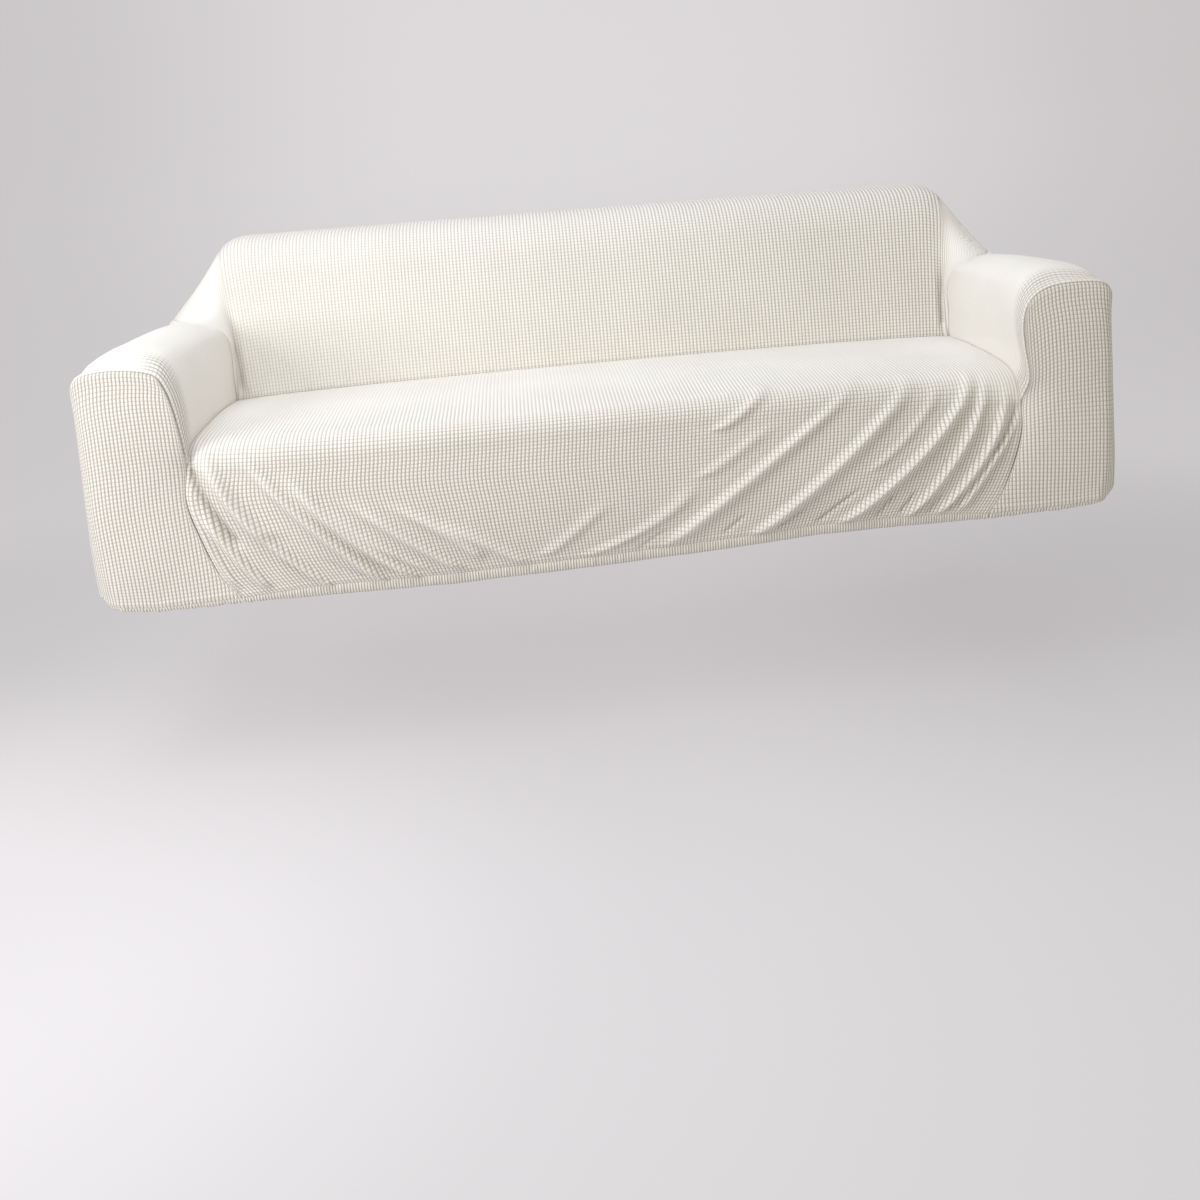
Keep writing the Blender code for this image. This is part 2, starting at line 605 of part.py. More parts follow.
def panel_object(name, outer, step, flip):
    """One panel as a closed sheet of cloth, from its outer face and the step to its inner face."""
    rows, columns = outer.shape[:2]
    faces = []
    inner_start = rows * columns

    def at(row, column):
        return row * columns + column

    for row in range(rows - 1):
        for column in range(columns - 1):
            quad = [at(row, column), at(row, column + 1), at(row + 1, column + 1), at(row + 1, column)]
            faces.append(quad)
            faces.append([inner_start + index for index in reversed(quad)])
    rim = [at(0, column) for column in range(columns)]
    rim += [at(row, columns - 1) for row in range(1, rows)]
    rim += [at(rows - 1, column) for column in range(columns - 2, -1, -1)]
    rim += [at(row, 0) for row in range(rows - 2, 0, -1)]
    places = outer.reshape(-1, 3).round(6).tolist()
    for here, there in zip(rim, rim[1:] + rim[:1]):
        # The rims of two panels face each other, so both are split along the same diagonal.
        if places[here] < places[there]:
            faces.append([there, here, inner_start + there])
            faces.append([here, inner_start + here, inner_start + there])
        else:
            faces.append([there, here, inner_start + here])
            faces.append([there, inner_start + here, inner_start + there])
    if flip < 0:
        faces = [face[::-1] for face in faces]
    drawn = outer + gap_steps(outer)
    points = np.concatenate([drawn.reshape(-1, 3), (drawn + step).reshape(-1, 3)])
    mesh = bpy.data.meshes.new(name)
    mesh.from_pydata(points.tolist(), [], faces)
    mesh.materials.append(knit_material(f"{name}_knit"))
    mesh.shade_smooth()
    mesh.set_sharp_from_angle(angle=math.radians(60))
    panel = bpy.data.objects.new(name, mesh)
    bpy.context.scene.collection.objects.link(panel)
    return panel


def main():
    """Build the seven panels of the cover."""
    for leftover in list(bpy.data.objects):
        bpy.data.objects.remove(leftover, do_unlink=True)
    back = inside_back()
    panels = {
        "seat_and_skirt": seat_and_skirt(),
        "inside_back": back,
        "outside_back": outside_back(back[-1]),
        "arm_sleeve_left": arm_sleeve(LEFT),
        "arm_sleeve_right": arm_sleeve(RIGHT),
        "arm_front_left": arm_front(LEFT),
        "arm_front_right": arm_front(RIGHT),
    }
    outward = {name: 1 for name in panels}
    outward["outside_back"] = -1
    outward["arm_sleeve_left"] = -1
    outward["arm_front_left"] = -1
    steps = offsets(panels, outward)
    everything = np.concatenate([grid.reshape(-1, 3) for grid in panels.values()])
    low, high = everything.min(axis=0), everything.max(axis=0)
    origin = np.array([(low[0] + high[0]) / 2, (low[1] + high[1]) / 2, low[2]])
    for name, grid in panels.items():
        panel_object(name, grid - origin, steps[name], outward[name])


main()
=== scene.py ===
"""Ivory stretch slipcover of a three-seat sofa, as it sits on the sofa, with the sofa left out.

The cover is seven panels of one grid knit, joined at its seams. Each panel is a fine sheet between the same
seams as its solid in the part. The ribs of the knit are real relief, laid along the columns of the sheet's
grid. The finer lines across them, the yarn, the seams' dark lines and the knit on the wings come from
the material. So does painted shade: in the grooves and lines of the knit, in the seams' dark lines and in the
creases.
"""

import logging
import math
from dataclasses import dataclass
from enum import Enum
from typing import NamedTuple

import bpy
import numpy as np
from mathutils import Matrix, Vector

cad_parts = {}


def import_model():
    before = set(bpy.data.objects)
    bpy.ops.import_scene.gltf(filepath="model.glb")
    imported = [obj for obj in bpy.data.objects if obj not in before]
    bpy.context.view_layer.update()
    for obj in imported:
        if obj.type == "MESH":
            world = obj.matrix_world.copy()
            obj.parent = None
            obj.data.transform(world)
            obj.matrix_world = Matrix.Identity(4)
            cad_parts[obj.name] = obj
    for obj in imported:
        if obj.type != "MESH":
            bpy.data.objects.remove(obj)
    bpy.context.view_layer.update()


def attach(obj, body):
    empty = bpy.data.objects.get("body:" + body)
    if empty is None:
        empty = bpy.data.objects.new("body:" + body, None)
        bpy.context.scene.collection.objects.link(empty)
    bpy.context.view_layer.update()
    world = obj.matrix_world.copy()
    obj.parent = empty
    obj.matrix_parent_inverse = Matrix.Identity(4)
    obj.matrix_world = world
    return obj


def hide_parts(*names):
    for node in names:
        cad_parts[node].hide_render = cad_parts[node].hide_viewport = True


LOG = logging.getLogger("slipcover")


class Side(Enum):
    """Which arm a piece belongs to, seen by someone who faces the cover."""

    LEFT = -1
    RIGHT = 1


class Knot(NamedTuple):
    """A point that a seam passes, and the steps of the part's grid up to the next one."""

    x: float
    y: float
    z: float
    steps: int


class HemRow(NamedTuple):
    """The hem at one place across the front: the line above its band, and the band's tuck in degrees."""

    x: float
    z: float
    tuck: float


class Fold(NamedTuple):
    """A drag fold of the skirt from its top past its middle to its foot. A negative height is a crease.

    Spread is how much wider it is at its top than at its foot, as a share, and tail how many times wider
    its right side is than its left one: a fold that runs up to the right corner has a steep left side.
    """

    top: tuple[float, float]
    middle: tuple[float, float]
    foot: tuple[float, float]
    height: float
    width: float
    spread: float = 0.0
    tail: float = 1.0


class Pinch(NamedTuple):
    """A short fold through points in space, for any panel. A negative height is a crease."""

    points: tuple[tuple[float, float, float], ...]
    height: float
    width: float


# The seams' own frame has its zero at the lower front, so this is taken off every point.
ORIGIN = np.array((0.00083148, 0.38434386, 0.00247466))

# Sizes of the cover, in metres.
HALF_WIDTH = 1.108
SIDE_SEAM_X = 1.102
FRONT_Y = 0.004
CORNER_Y = 0.030
CORNER_START_X = 1.045
CREASE_Y = 0.525
CREASE_END_X = 0.897
CREASE_LIFT = 0.016
REAR_Y = 0.775
REAR_HEM_Y = 0.790

# Steps of the part's grid along each stretch of a seam.
SKIRT_STEPS = 9
NOSE_STEPS = 4
SEAT_STEPS = 4
ARM_INNER_STEPS = 6
ARM_TOP_STEPS = 10
ARM_OUTER_STEPS = SKIRT_STEPS + ARM_INNER_STEPS
ARM_STEPS = ARM_INNER_STEPS + ARM_TOP_STEPS + ARM_OUTER_STEPS
BACK_RISE_STEPS = ARM_INNER_STEPS + ARM_TOP_STEPS
BACK_TOP_STEPS = 3
REAR_STEPS = ARM_OUTER_STEPS - BACK_TOP_STEPS

# Where a drag fold begins below its foot and ends above its top, in shares of its length.
FOLD_START = -0.08
FOLD_START_FADE = 0.16
FOLD_END = 1.15
FOLD_END_FADE = 0.45
FOLD_WIDEST = 1.2
FOLD_DIP = 0.35  # how much the cloth dips beside a fold's crest

# The same for a pinch, with the points along its line and how far round it the cloth is searched.
PINCH_START_FADE = 0.15
PINCH_END_FADE = 0.45
PINCH_POINTS = 41
PINCH_MARGIN = 0.1

ARM_FRONT_SEAM: dict[Side, tuple[Knot, ...]] = {
    Side.LEFT: (
        Knot(-0.815, 0.004, 0.030, 2),
        Knot(-0.853, 0.006, 0.078, 3),
        Knot(-0.885, 0.010, 0.160, 2),
        Knot(-0.904, 0.013, 0.238, 2),
        Knot(-0.897, 0.018, 0.303, 1),
        Knot(-0.896, 0.006, 0.352, 2),
        Knot(-0.904, 0.000, 0.430, 2),
        Knot(-0.914, 0.000, 0.470, 1),
        Knot(-0.929, 0.000, 0.498, 2),
        Knot(-0.956, 0.000, 0.511, 2),
        Knot(-1.005, 0.000, 0.519, 2),
        Knot(-1.056, 0.001, 0.517, 2),
        Knot(-1.084, 0.006, 0.507, 2),
        Knot(-1.099, 0.018, 0.486, 2),
        Knot(-SIDE_SEAM_X, CORNER_Y, 0.430, 9),
        Knot(-SIDE_SEAM_X, CORNER_Y, 0.110, 4),
        Knot(-SIDE_SEAM_X + 0.004, CORNER_Y, 0.052, 0),
    ),
    Side.RIGHT: (
        Knot(0.795, 0.004, 0.032, 2),
        Knot(0.832, 0.006, 0.082, 3),
        Knot(0.865, 0.011, 0.150, 2),
        Knot(0.884, 0.018, 0.212, 2),
        Knot(0.889, 0.030, 0.264, 1),
        Knot(0.900, 0.006, 0.316, 2),
        Knot(0.890, 0.000, 0.396, 2),
        Knot(0.888, 0.000, 0.440, 1),
        Knot(0.897, 0.000, 0.480, 2),
        Knot(0.922, 0.000, 0.508, 2),
        Knot(0.960, 0.000, 0.523, 2),
        Knot(1.024, 0.001, 0.526, 2),
        Knot(1.077, 0.005, 0.518, 2),
        Knot(1.098, 0.016, 0.498, 2),
        Knot(SIDE_SEAM_X, CORNER_Y, 0.440, 9),
        Knot(SIDE_SEAM_X, CORNER_Y, 0.110, 4),
        Knot(SIDE_SEAM_X - 0.004, CORNER_Y, 0.052, 0),
    ),
}

SEAT_SIDE_SEAM: dict[Side, tuple[Knot, ...]] = {
    Side.LEFT: (
        Knot(-0.897, 0.018, 0.303, 1),
        Knot(-0.897, 0.034, 0.325, 1),
        Knot(-0.897, 0.072, 0.338, 2),
        Knot(-0.897, 0.200, 0.343, 2),
        Knot(-0.897, 0.370, 0.340, 2),
        Knot(-0.897, CREASE_Y, 0.326, 0),
    ),
    Side.RIGHT: (
        Knot(0.889, 0.030, 0.264, 1),
        Knot(0.895, 0.060, 0.296, 1),
        Knot(0.897, 0.104, 0.320, 2),
        Knot(0.897, 0.220, 0.330, 2),
        Knot(0.897, 0.370, 0.330, 2),
        Knot(0.897, CREASE_Y, 0.322, 0),
    ),
}

ARM_REAR_RISE: tuple[Knot, ...] = (
    Knot(0.898, 0.524, 0.385, 2),
    Knot(0.898, 0.526, 0.448, 1),
    Knot(0.898, 0.498, 0.490, 1),
    Knot(0.904, 0.458, 0.516, 3),
    Knot(0.945, 0.478, 0.529, 4),
    Knot(1.003, 0.532, 0.530, 3),
    Knot(1.035, 0.600, 0.526, 3),
    Knot(1.097, REAR_Y, 0.474, 4),
    Knot(SIDE_SEAM_X, REAR_Y + 0.008, 0.300, 5),
    Knot(SIDE_SEAM_X, REAR_Y + 0.012, 0.110, 3),
    Knot(SIDE_SEAM_X - 0.004, REAR_HEM_Y - 0.004, 0.052, 0),
)

HEM_FRONT: tuple[HemRow, ...] = (
    HemRow(-1.108, 0.058, 80),
    HemRow(-1.078, 0.032, 80),
    HemRow(-0.980, 0.020, 76),
    HemRow(-0.815, 0.022, 60),
    HemRow(-0.660, 0.030, 16),
    HemRow(-0.385, 0.024, 12),
    HemRow(-0.075, 0.027, 12),
    HemRow(0.215, 0.034, 12),
    HemRow(0.410, 0.042, 12),
    HemRow(0.590, 0.040, 16),
    HemRow(0.714, 0.034, 26),
    HemRow(0.800, 0.024, 56),
    HemRow(0.983, 0.024, 76),
    HemRow(1.074, 0.030, 80),
    HemRow(1.108, 0.052, 80),
)
HEM_SIDE_Z = 0.026
HEM_SIDE_TUCK = 70.0
HEM_CORNER_RISE = 0.026
HEM_CORNER_REACH = 0.070

SKIRT_FOLDS: tuple[Fold, ...] = (
    Fold((-0.894, 0.257), (-0.871, 0.152), (-0.822, 0.050), 0.0085, 0.0085),
    Fold((-0.896, 0.335), (-0.868, 0.240), (-0.810, 0.138), -0.0125, 0.0100),
    Fold((-0.862, 0.320), (-0.820, 0.235), (-0.748, 0.150), 0.0090, 0.0220),
    Fold((-0.874, 0.208), (-0.829, 0.132), (-0.761, 0.044), 0.0155, 0.0086, 0.3),
    Fold((-0.855, 0.310), (-0.768, 0.163), (-0.641, 0.036), 0.0175, 0.0082, 0.7),
    Fold((-0.775, 0.300), (-0.660, 0.163), (-0.533, 0.036), 0.0180, 0.0082, 0.8),
    Fold((-0.690, 0.255), (-0.588, 0.134), (-0.465, 0.034), 0.0190, 0.0084, 0.7),
    Fold((-0.625, 0.195), (-0.545, 0.118), (-0.430, 0.040), 0.0105, 0.0085, 0.5),
    Fold((-0.567, 0.195), (-0.477, 0.119), (-0.370, 0.040), 0.0150, 0.0088, 0.7),
    Fold((-0.480, 0.180), (-0.399, 0.125), (-0.325, 0.060), 0.0120, 0.0092, 0.7),
    Fold((-0.400, 0.140), (-0.320, 0.090), (-0.235, 0.036), 0.0100, 0.0100, 0.7),
    Fold((-0.060, 0.140), (-0.124, 0.087), (-0.185, 0.045), 0.0056, 0.0136),
    Fold((0.130, 0.160), (0.010, 0.072), (-0.085, 0.036), 0.0076, 0.0129),
    Fold((0.310, 0.345), (0.268, 0.318), (0.200, 0.278), 0.0090, 0.0095, 0.0, 1.3),
    Fold((0.305, 0.272), (0.246, 0.233), (0.160, 0.182), 0.0062, 0.0110, 0.0, 1.5),
    Fold((0.485, 0.325), (0.303, 0.196), (0.085, 0.044), 0.0135, 0.0130, -0.3, 1.7),
    Fold((0.620, 0.325), (0.468, 0.186), (0.275, 0.044), 0.0155, 0.0108, 0.0, 1.8),
    Fold((0.690, 0.315), (0.621, 0.229), (0.532, 0.157), 0.0060, 0.0095, 0.0, 1.5),
    Fold((0.772, 0.325), (0.650, 0.185), (0.470, 0.050), 0.0170, 0.0092, 0.0, 1.7),
    Fold((0.802, 0.300), (0.723, 0.165), (0.613, 0.046), 0.0135, 0.0086, 0.0, 1.6),
    Fold((0.850, 0.275), (0.791, 0.164), (0.683, 0.046), 0.0135, 0.0084, 0.0, 1.5),
    Fold((0.876, 0.265), (0.853, 0.215), (0.814, 0.165), -0.0070, 0.0085),
    Fold((0.866, 0.226), (0.803, 0.137), (0.728, 0.044), 0.0100, 0.0082, 0.0, 1.2),
)

# Short creases where the drag folds run into the hem band.
HEM_CREASES: tuple[Fold, ...] = (
    Fold((0.079, 0.073), (0.048, 0.056), (0.014, 0.036), -0.0035, 0.006),
    Fold((0.246, 0.085), (0.224, 0.068), (0.200, 0.050), -0.0045, 0.006),
    Fold((0.375, 0.085), (0.346, 0.066), (0.315, 0.048), -0.0045, 0.006),
    Fold((0.500, 0.115), (0.452, 0.084), (0.405, 0.050), -0.0060, 0.006),
    Fold((0.580, 0.095), (0.558, 0.072), (0.538, 0.048), -0.0055, 0.006),
    Fold((0.630, 0.098), (0.611, 0.075), (0.590, 0.050), -0.0055, 0.006),
    Fold((0.664, 0.080), (0.643, 0.062), (0.622, 0.042), -0.0050, 0.006),
    Fold((0.690, 0.085), (0.672, 0.065), (0.655, 0.044), -0.0045, 0.006),
    Fold((0.735, 0.085), (0.718, 0.065), (0.700, 0.044), -0.0045, 0.006),
    Fold((-0.500, 0.085), (-0.468, 0.062), (-0.432, 0.040), -0.0035, 0.006),
    Fold((-0.570, 0.090), (-0.536, 0.064), (-0.498, 0.040), -0.0035, 0.006),
    Fold((-0.640, 0.085), (-0.600, 0.060), (-0.560, 0.038), -0.0035, 0.006),
    Fold((-0.720, 0.095), (-0.685, 0.066), (-0.650, 0.040), -0.0035, 0.006),
)

PINCHES: tuple[Pinch, ...] = (
    # Folds that run up from the right corner of the seat, along the inner seam of the arm.
    Pinch(((0.893, 0.040, 0.285), (0.905, 0.022, 0.340), (0.912, 0.020, 0.410)), 0.0030, 0.008),
    Pinch(((0.893, 0.060, 0.296), (0.898, 0.070, 0.345), (0.899, 0.075, 0.400)), 0.0035, 0.009),
    # A small fold over the front edge of the seat.
    Pinch(((0.203, 0.006, 0.346), (0.262, 0.072, 0.354), (0.340, 0.168, 0.357)), 0.0050, 0.010),
    # The fold between the back and the wing, deepest at its foot.
    Pinch(((-0.880, 0.530, 0.345), (-0.884, 0.545, 0.440), (-0.900, 0.575, 0.560)), -0.0080, 0.008),
    Pinch(((-0.866, 0.528, 0.345), (-0.868, 0.540, 0.430), (-0.880, 0.565, 0.540)), 0.0050, 0.009),
    Pinch(((0.880, 0.530, 0.345), (0.884, 0.545, 0.440), (0.896, 0.575, 0.560)), -0.0080, 0.008),
    Pinch(((0.866, 0.528, 0.345), (0.868, 0.540, 0.430), (0.876, 0.565, 0.540)), 0.0055, 0.008),
)


def smoothstep(value: np.ndarray) -> np.ndarray:
    """0 to 1 with flat ends."""
    value = np.clip(value, 0.0, 1.0)
    return value * value * (3.0 - 2.0 * value)


def unit(vectors: np.ndarray) -> np.ndarray:
    """The vectors, one metre long each."""
    return vectors / np.maximum(np.linalg.norm(vectors, axis=-1, keepdims=True), 1e-12)


def seam_at(knots: tuple[Knot, ...], steps: np.ndarray) -> np.ndarray:
    """Points of a smooth seam through its knots.

    Args:
        knots: The points that the seam passes.
        steps: Places along it, in steps of the part's grid.

    Returns:
        One point for each place.
    """
    corners = np.array([(knot.x, knot.y, knot.z) for knot in knots])
    spans = np.sqrt(np.linalg.norm(np.diff(corners, axis=0), axis=1))
    times = np.concatenate(([0.0], np.cumsum(spans)))
    slopes = np.gradient(corners, times, axis=0)
    marks = np.concatenate(([0], np.cumsum([knot.steps for knot in knots[:-1]])))
    steps = np.clip(steps, 0.0, marks[-1])
    index = np.clip(np.searchsorted(marks, steps, side="right") - 1, 0, len(knots) - 2)
    at = ((steps - marks[index]) / (marks[index + 1] - marks[index]))[:, None]
    span = (times[index + 1] - times[index])[:, None]
    return (
        (2 * at**3 - 3 * at**2 + 1) * corners[index]
        + (at**3 - 2 * at**2 + at) * span * slopes[index]
        + (3 * at**2 - 2 * at**3) * corners[index + 1]
        + (at**3 - at**2) * span * slopes[index + 1]
    )


def arm_rear_knots(side: Side) -> tuple[Knot, ...]:
    """The rear seam of an arm, from the seat's rear corner round to the hem."""
    corner = SEAT_SIDE_SEAM[side][-1]
    rise = ARM_REAR_RISE
    if side is Side.LEFT:
        rise = (*rise[:7], rise[7]._replace(x=1.078, z=0.486), *rise[8:])
    knots = (Knot(abs(corner.x), corner.y, corner.z, 2), *rise)
    return tuple(knot._replace(x=side.value * knot.x) for knot in knots)


def fit_to_seams(
    plain: np.ndarray,
    edges: tuple[np.ndarray, np.ndarray, np.ndarray, np.ndarray],
    up: np.ndarray,
    along: np.ndarray,
    fades: tuple[float, float] = (1.0, 1.0),
) -> np.ndarray:
    """A plain surface, moved so that its four edges lie on their seams.

    Args:
        plain: The surface, rows by columns.
        edges: The seams below, above, at the first and at the last column.
        up: Place of each row, 0 to 1.
        along: Place of each column, 0 to 1.
        fades: How fast an edge's move fades up the rows and along the columns.

    Returns:
        The fitted surface.
    """
    lower, upper, start, end = edges
    up, along = up[:, None, None], along[None, :, None]
    near_lower, near_upper = (1.0 - up) ** fades[0], up ** fades[0]
    near_start, near_end = (1.0 - along) ** fades[1], along ** fades[1]
    low, high = (lower - plain[0])[None], (upper - plain[-1])[None]
    moved = near_start * (start - plain[:, 0])[:, None] + near_end * (end - plain[:, -1])[:, None]
    for weight, edge in ((near_lower, low), (near_upper, high)):
        moved = moved + weight * (edge - near_start * edge[:, :1] - near_end * edge[:, -1:])
    return plain + moved


def respaced(grid: np.ndarray, shares: np.ndarray, level: bool = False) -> np.ndarray:
    """A surface with the points of each row spaced anew.

    Args:
        grid: The surface, rows by columns.
        shares: For each row, the places of its new points, 0 to 1 of the row's length.
        level: Whether length is measured only along X.

    Returns:
        The surface with as many columns as shares has.
    """
    steps = np.abs(np.diff(grid[..., 0], axis=1)) if level else np.linalg.norm(np.diff(grid, axis=1), axis=2)
    result = np.zeros((len(grid), shares.shape[1], 3))
    for row, points in enumerate(grid):
        length = np.concatenate(([0.0], np.cumsum(steps[row])))
        for axis in range(3):
            result[row, :, axis] = np.interp(shares[row], length / length[-1], points[:, axis])
    return result


def held_ribs(count: int, lengths: np.ndarray, full: float, crowd: float = 0.015) -> np.ndarray:
    """Shares of each row at which its ribs keep their spacing and crowd together beside the end seam.

    Args:
        count: Number of points in a row.
        lengths: Length of each row.
        full: Length at which all ribs fit at their full spacing.
        crowd: Width of the strip beside the end seam in which the ribs that don't fit crowd.

    Returns:
        Rows by points, 0 to 1.
    """
    even = np.linspace(0.0, 1.0, count)[None, :]
    gain = np.maximum(full / lengths, 1.0)[:, None]
    strip = (crowd / lengths)[:, None]
    into = np.clip((gain * even - 1.0 + strip) / (gain - 1.0 + strip), 0.0, 1.0)
    steepness = (gain - 1.0 + strip) / strip
    curved, even_share = 0.7, 0.3  # how much of the strip's spacing falls off, and how much stays even
    left = curved * (1.0 - into) ** (1.0 + (steepness - 1.0) / curved) + even_share * (1.0 - into)
    return np.where(gain * even < 1.0 - strip, gain * even, 1.0 - strip * left)


def front_hem_row(x: np.ndarray) -> tuple[np.ndarray, np.ndarray]:
    """Height of the line above the front's hem band, and the band's tuck, at places across the front."""
    places = [row.x for row in HEM_FRONT]
    heights = np.interp(x, places, [row.z for row in HEM_FRONT])
    return heights, np.interp(x, places, [row.tuck for row in HEM_FRONT])


def front_hem(xs: np.ndarray, start: np.ndarray, end: np.ndarray) -> np.ndarray:
    """The line above the hem band across a front panel, from one seam to the next."""
    points = np.stack([xs, np.full(len(xs), FRONT_Y), front_hem_row(xs)[0]], axis=1)
    over = smoothstep((np.abs(xs) - CORNER_START_X) / (SIDE_SEAM_X - CORNER_START_X))
    points[:, 1] += over * (CORNER_Y - FRONT_Y)
    points[0], points[-1] = start, end
    return points


def side_hem(start: np.ndarray, end: np.ndarray, count: int) -> np.ndarray:
    """The line above the hem band along an arm's outer side or the rear, low between its corners."""
    points = np.linspace(start, end, count)
    reach = np.linalg.norm(points[:, :2] - points[0, :2], axis=1)
    near = np.minimum(reach, reach[-1] - reach)
    points[:, 2] = HEM_SIDE_Z + HEM_CORNER_RISE * (1.0 - smoothstep(near / HEM_CORNER_REACH))
    points[0], points[-1] = start, end
    return points


def crease_line(xs: np.ndarray) -> np.ndarray:
    """The crease between the seat and the inside back, highest in the middle."""
    ends = [SEAT_SIDE_SEAM[side][-1].z for side in Side]
    lift = CREASE_LIFT * np.sqrt(np.clip(1.0 - (xs / CREASE_END_X) ** 2, 0.0, 1.0))
    heights = np.interp(xs, (-CREASE_END_X, CREASE_END_X), ends) + lift
    return np.stack([xs, np.full(len(xs), CREASE_Y), heights], axis=1)


def fold_relief(points: np.ndarray, folds: tuple[Fold, ...]) -> np.ndarray:
    """How far the skirt stands out at each of its points, from its drag folds."""
    x, z = points[..., 0], points[..., 2]
    total = np.zeros(x.shape)
    for fold in folds:
        heights = (fold.foot[1], fold.middle[1], fold.top[1])
        crest = np.polyval(np.polyfit(heights, (fold.foot[0], fold.middle[0], fold.top[0]), 2), z)
        length = fold.top[1] - fold.foot[1]
        lean = (fold.top[0] - fold.foot[0]) / length
        along = (z - fold.foot[1]) / length
        width = fold.width * (1.0 + fold.spread * np.clip(along, 0.0, FOLD_WIDEST))
        across = (x - crest) / math.hypot(1.0, lean) / width
        across = np.where(across > 0.0, across / fold.tail, across)
        fade = smoothstep((along - FOLD_START) / FOLD_START_FADE)
        fade = fade * smoothstep((FOLD_END - along) / FOLD_END_FADE)
        total += fold.height * fade * (1.0 - FOLD_DIP * across**2) * np.exp(-(across**2))
    return total


def pinch_relief(points: np.ndarray, pinches: tuple[Pinch, ...]) -> np.ndarray:
    """How far a panel stands out at each of its points, from the short folds near it."""
    flat = points.reshape(-1, 3)
    total = np.zeros(len(flat))
    at = np.linspace(0.0, 1.0, PINCH_POINTS)
    for pinch in pinches:
        knots = np.array(pinch.points)
        curves = [np.polyfit((0.0, 0.5, 1.0), knots[:, axis], 2) for axis in range(3)]
        line = np.stack([np.polyval(curve, at) for curve in curves], axis=1)
        reach = np.linalg.norm(knots[2] - knots[0]) + PINCH_MARGIN
        near = np.flatnonzero(np.linalg.norm(flat - knots[1], axis=1) < reach)
        if not len(near):
            continue
        gaps = np.linalg.norm(flat[near, None] - line[None], axis=2)
        place = at[gaps.argmin(axis=1)]
        fade = smoothstep(place / PINCH_START_FADE) * smoothstep((1.0 - place) / PINCH_END_FADE)
        across = gaps.min(axis=1) / pinch.width
        total[near] += pinch.height * fade * np.exp(-(across**2))
    return total.reshape(points.shape[:-1])


def soft_waves(first: np.ndarray, second: np.ndarray, length: float, seed: int) -> np.ndarray:
    """A gentle unevenness between -1 and 1 over a surface.

    Args:
        first: Place across the ribs, in metres.
        second: Place along the ribs, in metres.
        length: Typical length of a wave, in metres.
        seed: Picks the waves.

    Returns:
        One value for each point.
    """
    waves, shortest, longest = 7, 0.7, 1.6
    chance = np.random.default_rng(seed)
    total = np.zeros(np.broadcast(first, second).shape)
    for _ in range(waves):
        turn, phase = chance.uniform(0.0, math.tau, 2)
        pace = math.tau / (length * chance.uniform(shortest, longest))
        total += np.sin(pace * (math.cos(turn) * first + math.sin(turn) * second) + phase)
    return total / waves


def srgb(code: str) -> tuple[float, float, float, float]:
    """The linear colour of an sRGB hex value."""
    parts = [int(code[place : place + 2], 16) / 255.0 for place in (0, 2, 4)]
    red, green, blue = [c / 12.92 if c <= 0.04045 else ((c + 0.055) / 1.055) ** 2.4 for c in parts]
    return red, green, blue, 1.0


def add_node(
    tree: bpy.types.NodeTree, kind: str, inputs: dict[str | int, object] | None = None, **settings: object
) -> bpy.types.Node:
    """Add a node with its settings and links.

    Args:
        tree: The tree that it goes in.
        kind: Blender's name for the node.
        inputs: A value or a socket to link, for each input by name or number.
        settings: Values for the node's own properties.

    Returns:
        The node.
    """
    node = tree.nodes.new(kind)
    for name, value in settings.items():
        setattr(node, name, value)
    for key, value in (inputs or {}).items():
        if isinstance(value, bpy.types.NodeSocket):
            tree.links.new(value, node.inputs[key])
        else:
            node.inputs[key].default_value = value
    return node


